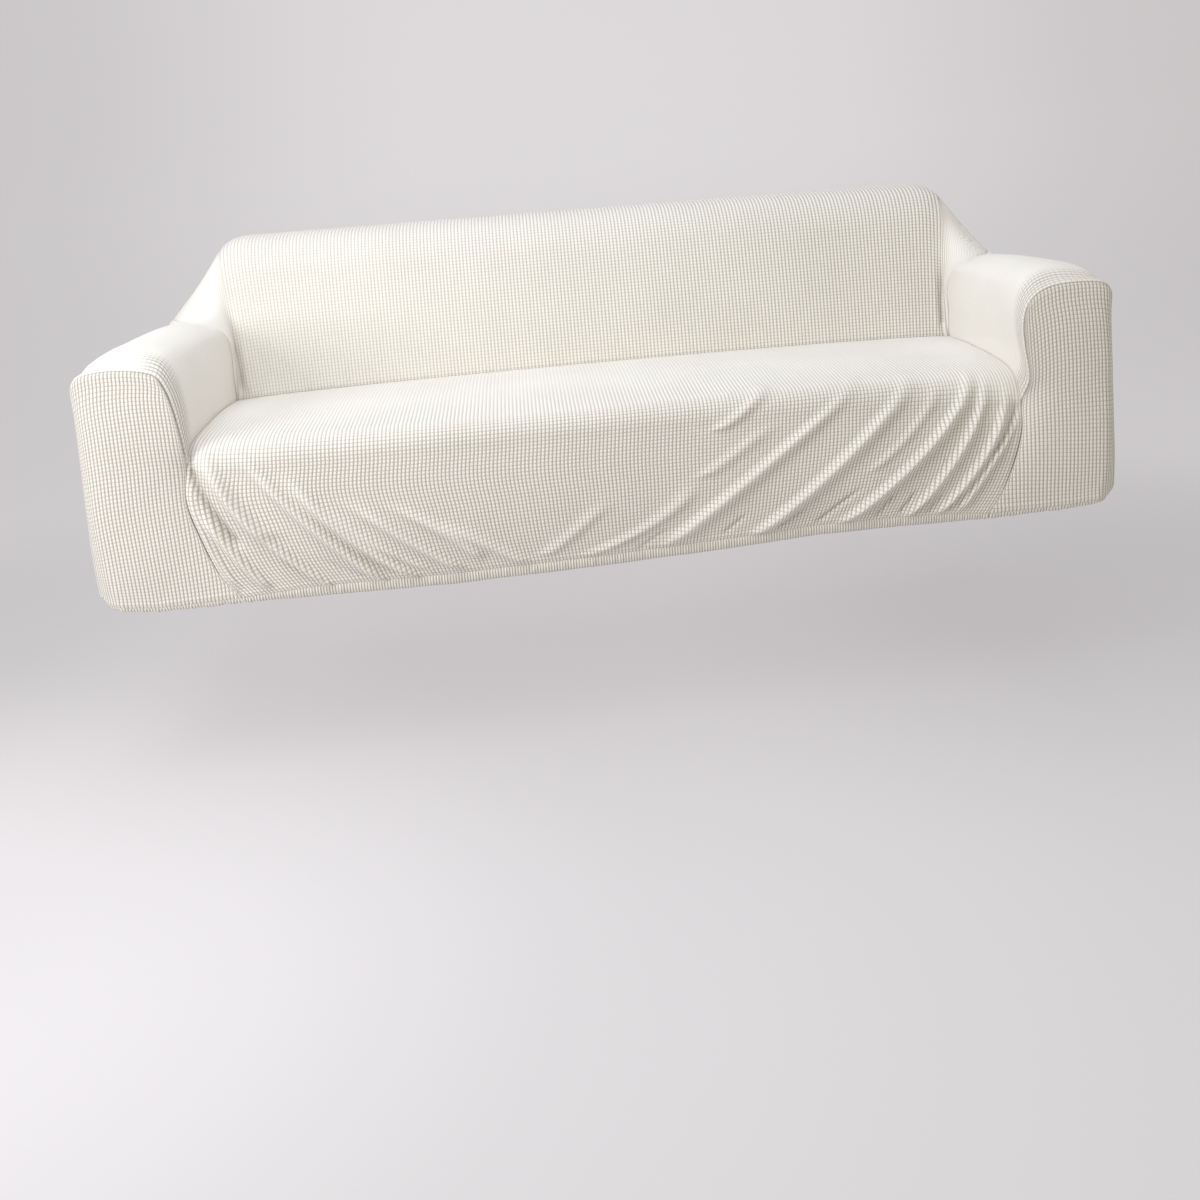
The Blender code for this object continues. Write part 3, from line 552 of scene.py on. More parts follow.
@dataclass(frozen=True)
class GridKnit:
    """Ivory polyester and elastane jacquard knit: matt raised cells between grooves, in a square grid.

    The cells catch the light. The colours of the grooves between the ribs and of the thinner lines across
    them are painted shade, a little greyer, and fine fibres give the whole a soft bloom without any gloss.
    The size of a line is half the width of its floor and the place where its flank ends, both in cells.
    """

    cell: str = "F0ECE6"
    # The colours of the grooves and of the lines across are painted shade in these recesses.
    groove: str = "B7B1A6"
    cross: str = "C5BFB4"
    # Colour of the painted shade along the seams and in the creases.
    seam_and_crease_shade_tint: str = "6F6759"
    pitch: float = 0.0082  # from groove to groove, and from line to line across
    groove_line: tuple[float, float] = (0.07, 0.27)
    cross_line: tuple[float, float] = (0.03, 0.18)
    gathered_line: tuple[float, float] = (0.10, 0.36)  # a groove of the casing, in its own closer cells
    gathering: float = 1.25  # how much closer the ribs are in the casing
    rib_height: float = 0.0010
    groove_share: float = 0.34  # from a groove's middle to the top of its flank, as a share of the pitch
    yarn: float = 0.0011  # width of one yarn loop
    loop_chance: float = 0.35
    loop_height: float = 0.14  # beside the depth of a line
    bump_depth: float = 0.0007
    bump_strength: float = 0.8
    patch_scale: float = 5.0
    patch_detail: float = 3.0
    patch_range: tuple[float, float] = (0.3, 0.7)
    patch_tones: tuple[float, float] = (0.975, 1.02)
    roughness: float = 0.92
    specular: float = 0.25
    sheen: float = 0.15
    sheen_roughness: float = 0.5

    def material(self) -> bpy.types.Material:
        """The knit's material, drawn on a UV map that is measured in metres."""
        material = bpy.data.materials.new("ivory_grid_knit")
        material.use_nodes = True
        tree = material.node_tree
        shader = tree.nodes["Principled BSDF"]
        places = add_node(tree, "ShaderNodeSeparateXYZ", {0: self._places(tree)}).outputs
        drawn, crossed, casing, sewn = (
            add_node(tree, "ShaderNodeAttribute", attribute_name=name).outputs["Fac"]
            for name in ("drawn", "crossed", "casing", "sewn")
        )
        # Where drawn and crossed are low the grid's painted shade fades, partly for knit pulled smooth and
        # partly as a painted highlight where the light falls strongest.
        grooves = self._shown(tree, self._lines(tree, places["X"], *self.groove_line), drawn)
        crosses = self._shown(tree, self._lines(tree, places["Y"], *self.cross_line), crossed)
        # The elastic gathers the casing's ribs closer together, and no lines cross them there.
        closer = add_node(tree, "ShaderNodeMath", {0: places["X"], 1: self.gathering}, operation="MULTIPLY")
        gathered = self._lines(tree, closer.outputs[0], *self.gathered_line)
        grooves, crosses = (
            add_node(tree, "ShaderNodeMix", {0: casing, 2: usual, 3: there}, data_type="FLOAT").outputs[0]
            for usual, there in ((grooves, gathered), (crosses, 1.0))
        )
        paint = self._toned(tree, self._paint(tree, grooves, crosses, sewn))
        tree.links.new(paint, shader.inputs["Base Color"])
        cells = add_node(tree, "ShaderNodeMath", {0: grooves, 1: crosses}, operation="MULTIPLY").outputs[0]
        height = add_node(
            tree,
            "ShaderNodeMath",
            {0: self._loops(tree), 1: self.loop_height, 2: cells},
            operation="MULTIPLY_ADD",
        ).outputs[0]
        bump = add_node(
            tree,
            "ShaderNodeBump",
            {"Height": height, "Strength": self.bump_strength, "Distance": self.bump_depth},
        )
        tree.links.new(bump.outputs["Normal"], shader.inputs["Normal"])
        shader.inputs["Roughness"].default_value = self.roughness
        shader.inputs["Specular IOR Level"].default_value = self.specular
        shader.inputs["Sheen Weight"].default_value = self.sheen
        shader.inputs["Sheen Roughness"].default_value = self.sheen_roughness
        return material

    def _paint(
        self,
        tree: bpy.types.NodeTree,
        grooves: bpy.types.NodeSocket,
        crosses: bpy.types.NodeSocket,
        sewn: bpy.types.NodeSocket,
    ) -> bpy.types.NodeSocket:
        """The knit's colour: cells between grooves and lines, with a fine dark line of painted shade at each
        seam and in each crease.

        Args:
            tree: The material's tree.
            grooves: 0 in the grooves between the ribs and 1 on the cells.
            crosses: The same for the lines across the ribs.
            sewn: 1 where painted shade darkens the cloth, in a fine line along a seam and in a crease.

        Returns:
            The colour's socket.
        """
        paint: object = srgb(self.cell)
        for mask, tint in ((crosses, self.cross), (grooves, self.groove)):
            mixed = add_node(tree, "ShaderNodeMix", {0: mask, 6: srgb(tint), 7: paint}, data_type="RGBA")
            paint = mixed.outputs[2]
        return add_node(
            tree, "ShaderNodeMix", {0: sewn, 6: paint, 7: srgb(self.seam_and_crease_shade_tint)}, data_type="RGBA"
        ).outputs[2]

    def _toned(self, tree: bpy.types.NodeTree, paint: bpy.types.NodeSocket) -> bpy.types.NodeSocket:
        """The colour, a little darker and lighter in soft patches."""
        patches = add_node(
            tree,
            "ShaderNodeTexNoise",
            {
                "Vector": add_node(tree, "ShaderNodeUVMap").outputs["UV"],
                "Scale": self.patch_scale,
                "Detail": self.patch_detail,
            },
        )
        tone = add_node(
            tree,
            "ShaderNodeMapRange",
            {
                "Value": patches.outputs["Fac"],
                "From Min": self.patch_range[0],
                "From Max": self.patch_range[1],
                "To Min": self.patch_tones[0],
                "To Max": self.patch_tones[1],
            },
        ).outputs["Result"]
        return add_node(
            tree, "ShaderNodeVectorMath", {0: paint, "Scale": tone}, operation="SCALE"
        ).outputs["Vector"]

    def _places(self, tree: bpy.types.NodeTree) -> bpy.types.NodeSocket:
        """Places on the cloth counted in cells."""
        uv = add_node(tree, "ShaderNodeUVMap")
        scaled = add_node(
            tree,
            "ShaderNodeVectorMath",
            {0: uv.outputs["UV"], "Scale": 1.0 / self.pitch},
            operation="SCALE",
        )
        return scaled.outputs["Vector"]

    def _lines(
        self, tree: bpy.types.NodeTree, place: bpy.types.NodeSocket, inner: float, outer: float
    ) -> bpy.types.NodeSocket:
        """0 in the lines between cells and 1 on the cells.

        Args:
            tree: The material's tree.
            place: Place across the lines, in cells.
            inner: Half the width of a line's floor, in cells.
            outer: Where its flank ends, in cells.

        Returns:
            The mask's socket.
        """
        away = add_node(tree, "ShaderNodeMath", {0: place, 1: 0.5}, operation="PINGPONG")
        return add_node(
            tree,
            "ShaderNodeMapRange",
            {"Value": away.outputs[0], "From Min": inner, "From Max": outer},
            interpolation_type="SMOOTHSTEP",
        ).outputs["Result"]

    def _shown(
        self, tree: bpy.types.NodeTree, mask: bpy.types.NodeSocket, drawn: bpy.types.NodeSocket
    ) -> bpy.types.NodeSocket:
        """The mask where the grid is drawn, and 1, as on a cell, where the knit is pulled smooth and where
        its painted shade is left out as a painted highlight.
        """
        return add_node(tree, "ShaderNodeMix", {0: drawn, 2: 1.0, 3: mask}, data_type="FLOAT").outputs[0]

    def _loops(self, tree: bpy.types.NodeTree) -> bpy.types.NodeSocket:
        """The yarn's loops, as fine rounded bumps. They show only from close by."""
        uv = add_node(tree, "ShaderNodeUVMap")
        return add_node(
            tree,
            "ShaderNodeTexVoronoi",
            {"Vector": uv.outputs["UV"], "Scale": 1.0 / self.yarn, "Randomness": self.loop_chance},
            feature="SMOOTH_F1",
        ).outputs["Distance"]

    def rib_tree(self) -> bpy.types.NodeTree:
        """Geometry nodes that raise the ribs of the knit from a smooth sheet.

        Returns:
            A tree with inputs for the ribs' height, the share of the pitch from a groove's middle to the
            top of its flank, and the material. The sheet's attribute rib counts ribs, and rise scales
            their height.
        """
        tree = bpy.data.node_groups.new("knit_ribs", "GeometryNodeTree")
        for name, kind in (
            ("Geometry", "NodeSocketGeometry"),
            ("Rib Height", "NodeSocketFloat"),
            ("Groove Share", "NodeSocketFloat"),
            ("Material", "NodeSocketMaterial"),
        ):
            tree.interface.new_socket(name, in_out="INPUT", socket_type=kind)
        tree.interface.new_socket("Geometry", in_out="OUTPUT", socket_type="NodeSocketGeometry")
        given = add_node(tree, "NodeGroupInput").outputs
        rib = add_node(tree, "GeometryNodeInputNamedAttribute", {"Name": "rib"}, data_type="FLOAT")
        rise = add_node(tree, "GeometryNodeInputNamedAttribute", {"Name": "rise"}, data_type="FLOAT")
        away = add_node(tree, "ShaderNodeMath", {0: rib.outputs[0], 1: 0.5}, operation="PINGPONG")
        crown = add_node(
            tree,
            "ShaderNodeMapRange",
            {"Value": away.outputs[0], "From Min": 0.0, "From Max": given["Groove Share"]},
            interpolation_type="SMOOTHSTEP",
        )
        height = add_node(
            tree, "ShaderNodeMath", {0: crown.outputs["Result"], 1: given["Rib Height"]}, operation="MULTIPLY"
        )
        height = add_node(
            tree, "ShaderNodeMath", {0: height.outputs[0], 1: rise.outputs[0]}, operation="MULTIPLY"
        )
        normal = add_node(tree, "GeometryNodeInputNormal")
        offset = add_node(
            tree,
            "ShaderNodeVectorMath",
            {0: normal.outputs["Normal"], "Scale": height.outputs[0]},
            operation="SCALE",
        )
        raised = add_node(
            tree,
            "GeometryNodeSetPosition",
            {"Geometry": given["Geometry"], "Offset": offset.outputs["Vector"]},
        )
        real = add_node(tree, "GeometryNodeRealizeInstances", {"Geometry": raised.outputs["Geometry"]})
        dressed = add_node(
            tree,
            "GeometryNodeSetMaterial",
            {"Geometry": real.outputs["Geometry"], "Material": given["Material"]},
        )
        add_node(tree, "NodeGroupOutput", {"Geometry": dressed.outputs["Geometry"]})
        return tree


@dataclass(frozen=True)
class HemCasing:
    """The elastic casing along the lower edge: a narrow tunnel of the same knit, gathered by the elastic.

    The line that sews it pulls the cloth in, and the seam's allowance lifts the cloth just above.
    """

    height: float = 0.022
    outer_rows: int = 7
    inner_rows: int = 3
    thickness: float = 0.0030
    bulge: float = 0.0018
    bulge_end: float = 0.9  # place of the foot on the bulge's half wave
    gather: float = 0.0017
    gather_length: float = 0.016
    slow_gather: float = 0.6  # beside the finer gathers
    slow_gather_length: float = 0.034
    first_tuck: float = 0.3  # share of its tuck that the band has at the top
    added_tuck: float = 1.2  # and how much more it has at its foot
    lining_end: float = 2.2  # cloth from the line round the foot and up to the lining's end, in bands
    core_inset: float = 0.06
    front_depth: float = 0.1
    front_margin: float = 0.02
    stitch_pull: float = 0.0016
    stitch_width: float = 0.0030
    allowance_lift: float = 0.0010
    allowance_place: float = 0.0075
    allowance_width: float = 0.0040
    knit_fade: float = 0.003

    def rows(self, line: np.ndarray) -> tuple[np.ndarray, np.ndarray, np.ndarray]:
        """The casing below a hem line, from its inner top edge, round its foot, up to the line.

        Args:
            line: Points of the line above the band.

        Returns:
            Its rows, each row's place down the cloth in metres, and how far each may bulge, 0 to 1.
        """
        inset = self.core_inset
        core = np.clip(line[:, :2], (-HALF_WIDTH + inset, inset), (HALF_WIDTH - inset, REAR_HEM_Y - inset))
        inward = np.zeros_like(line)
        inward[:, :2] = unit(core - line[:, :2])
        down = np.array([0.0, 0.0, -1.0])
        front = (line[:, 1] < self.front_depth) & (np.abs(line[:, 0]) < SIDE_SEAM_X - self.front_margin)
        tuck = np.radians(np.where(front, front_hem_row(line[:, 0])[1], HEM_SIDE_TUCK))[:, None]
        step = 1.0 / self.outer_rows
        outer, linings = [], []
        point = line.copy()
        for row in range(self.outer_rows):
            angle = tuck * (self.first_tuck + self.added_tuck * (row + 0.5) * step)
            point = point + self.height * step * (np.cos(angle) * down + np.sin(angle) * inward)
            outer.append(point)
            linings.append(point + self.thickness * (np.cos(angle) * inward - np.sin(angle) * down))
        picked = np.linspace(0, self.outer_rows - 1, self.inner_rows).round().astype(int)
        inner = [linings[index] for index in picked]
        rows = np.array(inner + outer[::-1])
        count_down = np.arange(self.outer_rows, 0, -1)
        lining_depth = -self.height * (self.lining_end - (picked + 1) * step)
        depth = np.concatenate([lining_depth, -self.height * step * count_down])
        bulge = np.sin(math.pi * count_down * step * self.bulge_end)
        return rows, depth, np.concatenate([np.zeros(self.inner_rows), bulge])

    def stitched_in(self, along: np.ndarray) -> np.ndarray:
        """How far the cloth is pulled in beside the casing's stitch line, less the seam's lift above it."""
        pulled = self.stitch_pull * np.exp(-((along / self.stitch_width) ** 2))
        above = (along - self.allowance_place) / self.allowance_width
        return pulled - self.allowance_lift * np.exp(-(above**2))


@dataclass
class Cloth:
    """A panel's smooth sheet before its relief: its points, and where each lies on the cloth.

    Rib counts the ribs, and course is the length along them in metres. The others go from 0 to 1:
    aligned tells where the grid's columns follow the ribs, drawn how strongly the ribs show, crossed the
    same for the lines across them, casing where the hem's casing is, and bulge how far it may bulge.
    """

    points: np.ndarray
    rib: np.ndarray
    course: np.ndarray
    aligned: np.ndarray
    drawn: np.ndarray
    crossed: np.ndarray
    casing: np.ndarray
    bulge: np.ndarray


@dataclass
class KnitPanel:
    """One panel of the cover, between its seams. Each kind of panel gives its own surface."""

    name: str
    node: str
    outward: int
    flat: tuple[float, float]
    area: float
    sewn_to: tuple[str, ...]
    seed: int
    hemmed: bool = True
    stretch: float = 1.0  # how much longer the knit is pulled along its ribs than across them
    columns_per_rib: int = 4
    puff: float = 0.0028  # how far the cloth stands up beside a sewn seam
    puff_reach: float = 0.0050
    # The dark line along the seams is painted shade.
    seam_line: float = 0.0  # how dark its seams show as lines
    seam_line_width: float = 0.0035
    unevenness: float = 0.0008
    wave_length: float = 0.16
    wave_edge: float = 0.030  # each edge is the strip beside a seam in which that relief dies away
    fold_edge: float = 0.012
    bulge_edge: float = 0.010
    stitch_edge: float = 0.008
    rib_edge: float = 0.006
    widest_rib: float = 1.15  # a rib's height follows its width up to here, in pitches
    casing_flatness: float = 0.7  # how much lower the ribs are in the casing
    smooth_ribs: float = 0.25  # share of their height that the ribs keep where the knit is pulled smooth
    drawn_ribs: float = 0.75
    crease_shade: float = 0.26  # painted shade in a crease, mixed in as along a seam
    crease_depth: float = 0.010

    def surface(self) -> tuple[np.ndarray, np.ndarray]:
        """The sheet's points, rows by columns, and the rib count at each column."""
        raise NotImplementedError

    def relief(self, cloth: Cloth) -> np.ndarray:
        """Folds of this panel alone, in metres outwards."""
        return pinch_relief(cloth.points, PINCHES)

    def cloth(self, casing: HemCasing) -> Cloth:
        """The smooth sheet with its hem casing.

        Args:
            casing: The elastic casing.

        Returns:
            The sheet, in the seams' own frame.
        """
        points, rib = self.surface()
        steps = np.linalg.norm(np.diff(points, axis=0), axis=2)
        course = np.concatenate(([0.0], np.cumsum(np.median(steps, axis=1))))
        bulge = np.zeros(len(points))
        if self.hemmed:
            rows, depth, swell = casing.rows(points[0])
            points = np.concatenate([rows, points])
            course = np.concatenate([depth, course])
            bulge = np.concatenate([swell, bulge])
        shape = points.shape[:2]
        cloth = Cloth(
            points,
            rib=np.broadcast_to(rib[None, :], shape).copy(),
            course=np.broadcast_to(course[:, None], shape).copy(),
            aligned=np.ones(shape),
            drawn=np.ones(shape),
            crossed=np.ones(shape),
            casing=np.broadcast_to(smoothstep(course / -casing.knit_fade)[:, None], shape),
            bulge=np.broadcast_to(bulge[:, None], shape),
        )
        self.lay(cloth)
        return cloth

    def lay(self, cloth: Cloth) -> None:
        """Change how the knit lies on this panel and how strongly it shows. A plain one is left as it is."""

    def seam_distance(self, points: np.ndarray) -> np.ndarray:
        """Distance over the cloth from each point to the nearest sewn edge."""
        along = np.linalg.norm(np.diff(points, axis=1), axis=2)
        along = np.concatenate([np.zeros((len(points), 1)), np.cumsum(along, axis=1)], axis=1)
        upward = np.linalg.norm(np.diff(points, axis=0), axis=2)
        upward = np.concatenate([np.zeros((1, points.shape[1])), np.cumsum(upward, axis=0)])
        nearest = np.minimum(np.minimum(along, along[:, -1:] - along), upward[-1:] - upward)
        return nearest if self.hemmed else np.minimum(nearest, upward)

    def outer_normals(self, points: np.ndarray) -> np.ndarray:
        """Unit normals at a grid's points, away from the sofa."""
        return self.outward * unit(np.cross(np.gradient(points, axis=1), np.gradient(points, axis=0)))

    def stand_out(
        self, cloth: Cloth, edge: np.ndarray, folds: np.ndarray, casing: HemCasing, pitch: float
    ) -> np.ndarray:
        """How far the cloth stands out from its smooth sheet, apart from its ribs.

        Args:
            cloth: The smooth sheet.
            edge: Distance of each point to the nearest seam.
            folds: The panel's own folds.
            casing: The elastic casing.
            pitch: Distance from rib to rib.

        Returns:
            One height for each point, in metres.
        """
        across = cloth.rib * pitch
        along = cloth.course
        height = self.puff * smoothstep(edge / self.puff_reach)
        inside = smoothstep(edge / self.wave_edge)
        height += inside * self.unevenness * soft_waves(across, along, self.wave_length, self.seed)
        height += folds
        level = 0.0 * along
        gathers = soft_waves(across, level, casing.gather_length, self.seed + 50)
        slow = soft_waves(across, level, casing.slow_gather_length, self.seed + 60)
        gathers = gathers + casing.slow_gather * slow
        swell = cloth.bulge * smoothstep(edge / self.bulge_edge)
        height += swell * (casing.bulge + casing.gather * gathers)
        if self.hemmed:
            height -= casing.stitched_in(along) * smoothstep(edge / self.stitch_edge)
        return height

    def build(
        self, casing: HemCasing, knit: GridKnit, ribs: bpy.types.NodeTree, finish: bpy.types.Material
    ) -> None:
        """Build the panel, hang it from the root body and hide the solid that it stands for.

        Args:
            casing: The elastic casing.
            knit: The knit's sizes.
            ribs: The geometry nodes that raise the ribs.
            finish: The knit's material.
        """
        cloth = self.cloth(casing)
        points = cloth.points
        edge = self.seam_distance(points)
        folds = smoothstep(edge / self.fold_edge) * self.relief(cloth)
        height = self.stand_out(cloth, edge, folds, casing, knit.pitch)
        points = points + height[..., None] * self.outer_normals(points)
        spacing = np.linalg.norm(np.gradient(points, axis=1), axis=2) * self.columns_per_rib
        rise = smoothstep(edge / self.rib_edge) * np.clip(spacing / knit.pitch, 0.0, self.widest_rib)
        rise = rise * (1.0 - self.casing_flatness * cloth.casing) * cloth.aligned
        rise = rise * (self.smooth_ribs + self.drawn_ribs * cloth.drawn)
        # Painted shade: a fine dark line along each seam, and darker cloth in the creases.
        seams = self.seam_line * (1.0 - smoothstep(edge / self.seam_line_width))
        sewn = np.maximum(seams, self.crease_shade * smoothstep(-folds / self.crease_depth))
        piece = self.sheet_object(points - ORIGIN, cloth, rise, sewn, knit)
        self.raise_ribs(piece, knit, ribs, finish)
        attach(piece, "root")
        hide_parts(self.node)
        LOG.info("%s: %d points", self.name, len(piece.data.vertices))

    def sheet_object(
        self, points: np.ndarray, cloth: Cloth, rise: np.ndarray, sewn: np.ndarray, knit: GridKnit
    ) -> bpy.types.Object:
        """The sheet as a mesh, with its UV map in metres and the attributes that the knit needs."""
        rows, columns = points.shape[:2]
        index = np.arange(rows * columns).reshape(rows, columns)
        corners = [index[:-1, :-1], index[:-1, 1:], index[1:, 1:], index[1:, :-1]]
        quads = np.stack(corners, axis=-1).reshape(-1, 4)
        if self.outward < 0:
            quads = quads[:, ::-1]
        mesh = bpy.data.meshes.new(self.name)
        mesh.from_pydata(points.reshape(-1, 3).tolist(), [], quads.tolist())
        place = np.stack([cloth.rib * knit.pitch, cloth.course / self.stretch], axis=-1).reshape(-1, 2)
        uv = mesh.uv_layers.new(name="cloth")
        uv.data.foreach_set("uv", place[quads.reshape(-1)].reshape(-1).astype(np.float32))
        marks = {"rib": cloth.rib, "rise": rise, "drawn": cloth.drawn, "crossed": cloth.crossed}
        marks.update(casing=cloth.casing, sewn=sewn)
        for name, values in marks.items():
            plain = np.ascontiguousarray(values, dtype=np.float32).reshape(-1)
            mesh.attributes.new(name, "FLOAT", "POINT").data.foreach_set("value", plain)
        mesh.shade_smooth()
        piece = bpy.data.objects.new(self.name, mesh)
        bpy.context.scene.collection.objects.link(piece)
        return piece

    def raise_ribs(
        self, piece: bpy.types.Object, knit: GridKnit, ribs: bpy.types.NodeTree, finish: bpy.types.Material
    ) -> None:
        """Run the rib nodes on a sheet and keep the result as its plain mesh.

        Args:
            piece: The smooth sheet.
            knit: The knit's sizes.
            ribs: The geometry nodes.
            finish: The knit's material.
        """
        modifier = piece.modifiers.new("ribs", "NODES")
        modifier.node_group = ribs
        wanted = {"Rib Height": knit.rib_height, "Groove Share": knit.groove_share, "Material": finish}
        for item in ribs.interface.items_tree:
            if item.in_out == "INPUT" and item.name in wanted:
                modifier[item.identifier] = wanted[item.name]
        bpy.context.view_layer.update()
        evaluated = piece.evaluated_get(bpy.context.evaluated_depsgraph_get())
        plain = bpy.data.meshes.new_from_object(evaluated)
        piece.modifiers.remove(modifier)
        piece.data = plain
        plain.shade_smooth()


def spaced(*parts: tuple[float, float, int]) -> np.ndarray:
    """Rows between marks, each part given as its first mark, its last mark and its number of rows."""
    rows = [np.linspace(first, last, count + 1)[:-1] for first, last, count in parts]
    return np.concatenate([*rows, [parts[-1][1]]])


@dataclass
class SeatAndSkirt(KnitPanel):
    """The seat and the front skirt in one piece: over the seat, down its front, to the hem."""

    columns_per_rib: int = 3
    ribs: int = 218
    seat_edge_z: float = 0.345
    skirt_top_z: float = 0.290
    nose_depth: float = 0.060
    nose_power: float = 0.78  # below 1, the seat turns down to the skirt more tightly than a circle
    skirt_swell: float = 0.012
    swell_start: float = 0.15  # place of the hem on the swell's half wave
    swell_length: float = 0.8  # how much of that wave the skirt takes
    seat_left_x: float = -0.897
    seat_width: float = 1.786
    seat_crown: float = 0.014
    crown_half_width: float = 0.878
    crown_length: float = 0.8  # how much of its half wave the crown takes from the edge to the crease
    seam_fades: tuple[float, float] = (5.0, 10.0)  # how fast a seam's own course fades up and across
    fold_end_y: float = 0.055
    fold_end_fade: float = 0.05
    band_top: float = 0.008  # the folds begin so far below the hem's stitch line
    band_fade: float = 0.016
    turn_start: float = 0.005
    turn_length: float = 0.05
    turn_pull: float = 0.35  # how much fainter the ribs grow where the skirt turns into the seat
    seat_length: float = 0.25
    seat_pull: float = 0.40  # and how much more over the front of the seat
    crest_pull: float = 0.25  # the same on a fold's crest
    crest_start: float = 0.002
    crest_rise: float = 0.010

    def surface(self) -> tuple[np.ndarray, np.ndarray]:
        """The sheet's points, rows by columns, and the rib count at each column."""
        nose_at, seat_at = SKIRT_STEPS, SKIRT_STEPS + NOSE_STEPS
        last = seat_at + SEAT_STEPS
        rows = spaced(
            (0, 0.3, 2),
            (0.3, nose_at, 78),
            (nose_at, seat_at, 18),
            (seat_at, last - 0.08, 20),
            (last - 0.08, last, 4),
        )
        count = self.ribs * self.columns_per_rib + 1
        share = np.linspace(0.0, 1.0, count)
        sides = []
        for side in Side:
            rise = seam_at(ARM_FRONT_SEAM[side], rows[rows <= nose_at])
            inward = seam_at(SEAT_SIDE_SEAM[side], rows[rows > nose_at] - nose_at)
            sides.append(np.concatenate([rise, inward]))
        left, right = sides
        plain = np.zeros((len(rows), count, 3))
        plain[..., 0] = left[:, :1] + (right[:, :1] - left[:, :1]) * share
        spread = ((self.seat_left_x + self.seat_width * share) / self.crown_half_width) ** 2
        crown = self.seat_crown * (1.0 - spread)
        hem_z = front_hem_row(plain[0, :, 0])[0]
        nose_y = -self.skirt_swell * math.sin((self.swell_start + self.swell_length) * math.pi)
        for row, step in enumerate(rows):
            if step <= nose_at:
                up = step / nose_at
                wave = math.pi * (self.swell_start + self.swell_length * up)
                plain[row, :, 1] = -self.skirt_swell * math.sin(wave)
                plain[row, :, 2] = hem_z + (self.skirt_top_z - hem_z) * up
            elif step <= seat_at:
                turn = math.pi / 2 * (step - nose_at) / NOSE_STEPS
                forward, upward = math.cos(turn) ** self.nose_power, math.sin(turn) ** self.nose_power
                plain[row, :, 1] = nose_y + (self.nose_depth - nose_y) * (1.0 - forward)
                plain[row, :, 2] = self.skirt_top_z + (self.seat_edge_z - self.skirt_top_z) * upward
            else:
                back = (step - seat_at) / SEAT_STEPS
                plain[row, :, 1] = self.nose_depth + (CREASE_Y - self.nose_depth) * back
                plain[row, :, 2] = self.seat_edge_z + crown * math.sin(self.crown_length * math.pi * back)
        hem = front_hem(plain[0, :, 0], left[0], right[0])
        crease = crease_line(plain[-1, :, 0])
        crease[0], crease[-1] = left[-1], right[-1]
        edges = (hem, crease, left, right)
        fitted = fit_to_seams(plain, edges, rows / last, share, self.seam_fades)
        return fitted, share * self.ribs

    def relief(self, cloth: Cloth) -> np.ndarray:
        """The drag folds of the skirt, which die away on the seat."""
        on_front = 1.0 - smoothstep((cloth.points[..., 1] - self.fold_end_y) / self.fold_end_fade)
        folds = fold_relief(cloth.points, SKIRT_FOLDS) + fold_relief(cloth.points, HEM_CREASES)
        above_band = smoothstep((cloth.course + self.band_top) / self.band_fade)
        return folds * on_front * above_band + pinch_relief(cloth.points, PINCHES)

    def lay(self, cloth: Cloth) -> None:
        """The seat stretches the knit, and so do the folds' crests: there its ribs and lines grow faint, and
        their painted shade fades as a painted highlight where the light falls on them.
        """
        over = cloth.points[..., 1]
        folds = fold_relief(cloth.points, SKIRT_FOLDS)
        slack = 1.0 - self.crest_pull * smoothstep((folds - self.crest_start) / self.crest_rise)
        turned = smoothstep((over + self.turn_start) / self.turn_length)
        on_seat = smoothstep((over - self.turn_length) / self.seat_length)
        cloth.drawn[:] = 1.0 - self.turn_pull * turned - self.seat_pull * on_seat
        cloth.drawn[:] *= slack
        cloth.crossed[:] = (1.0 - smoothstep((over - self.turn_start) / self.turn_length)) * slack


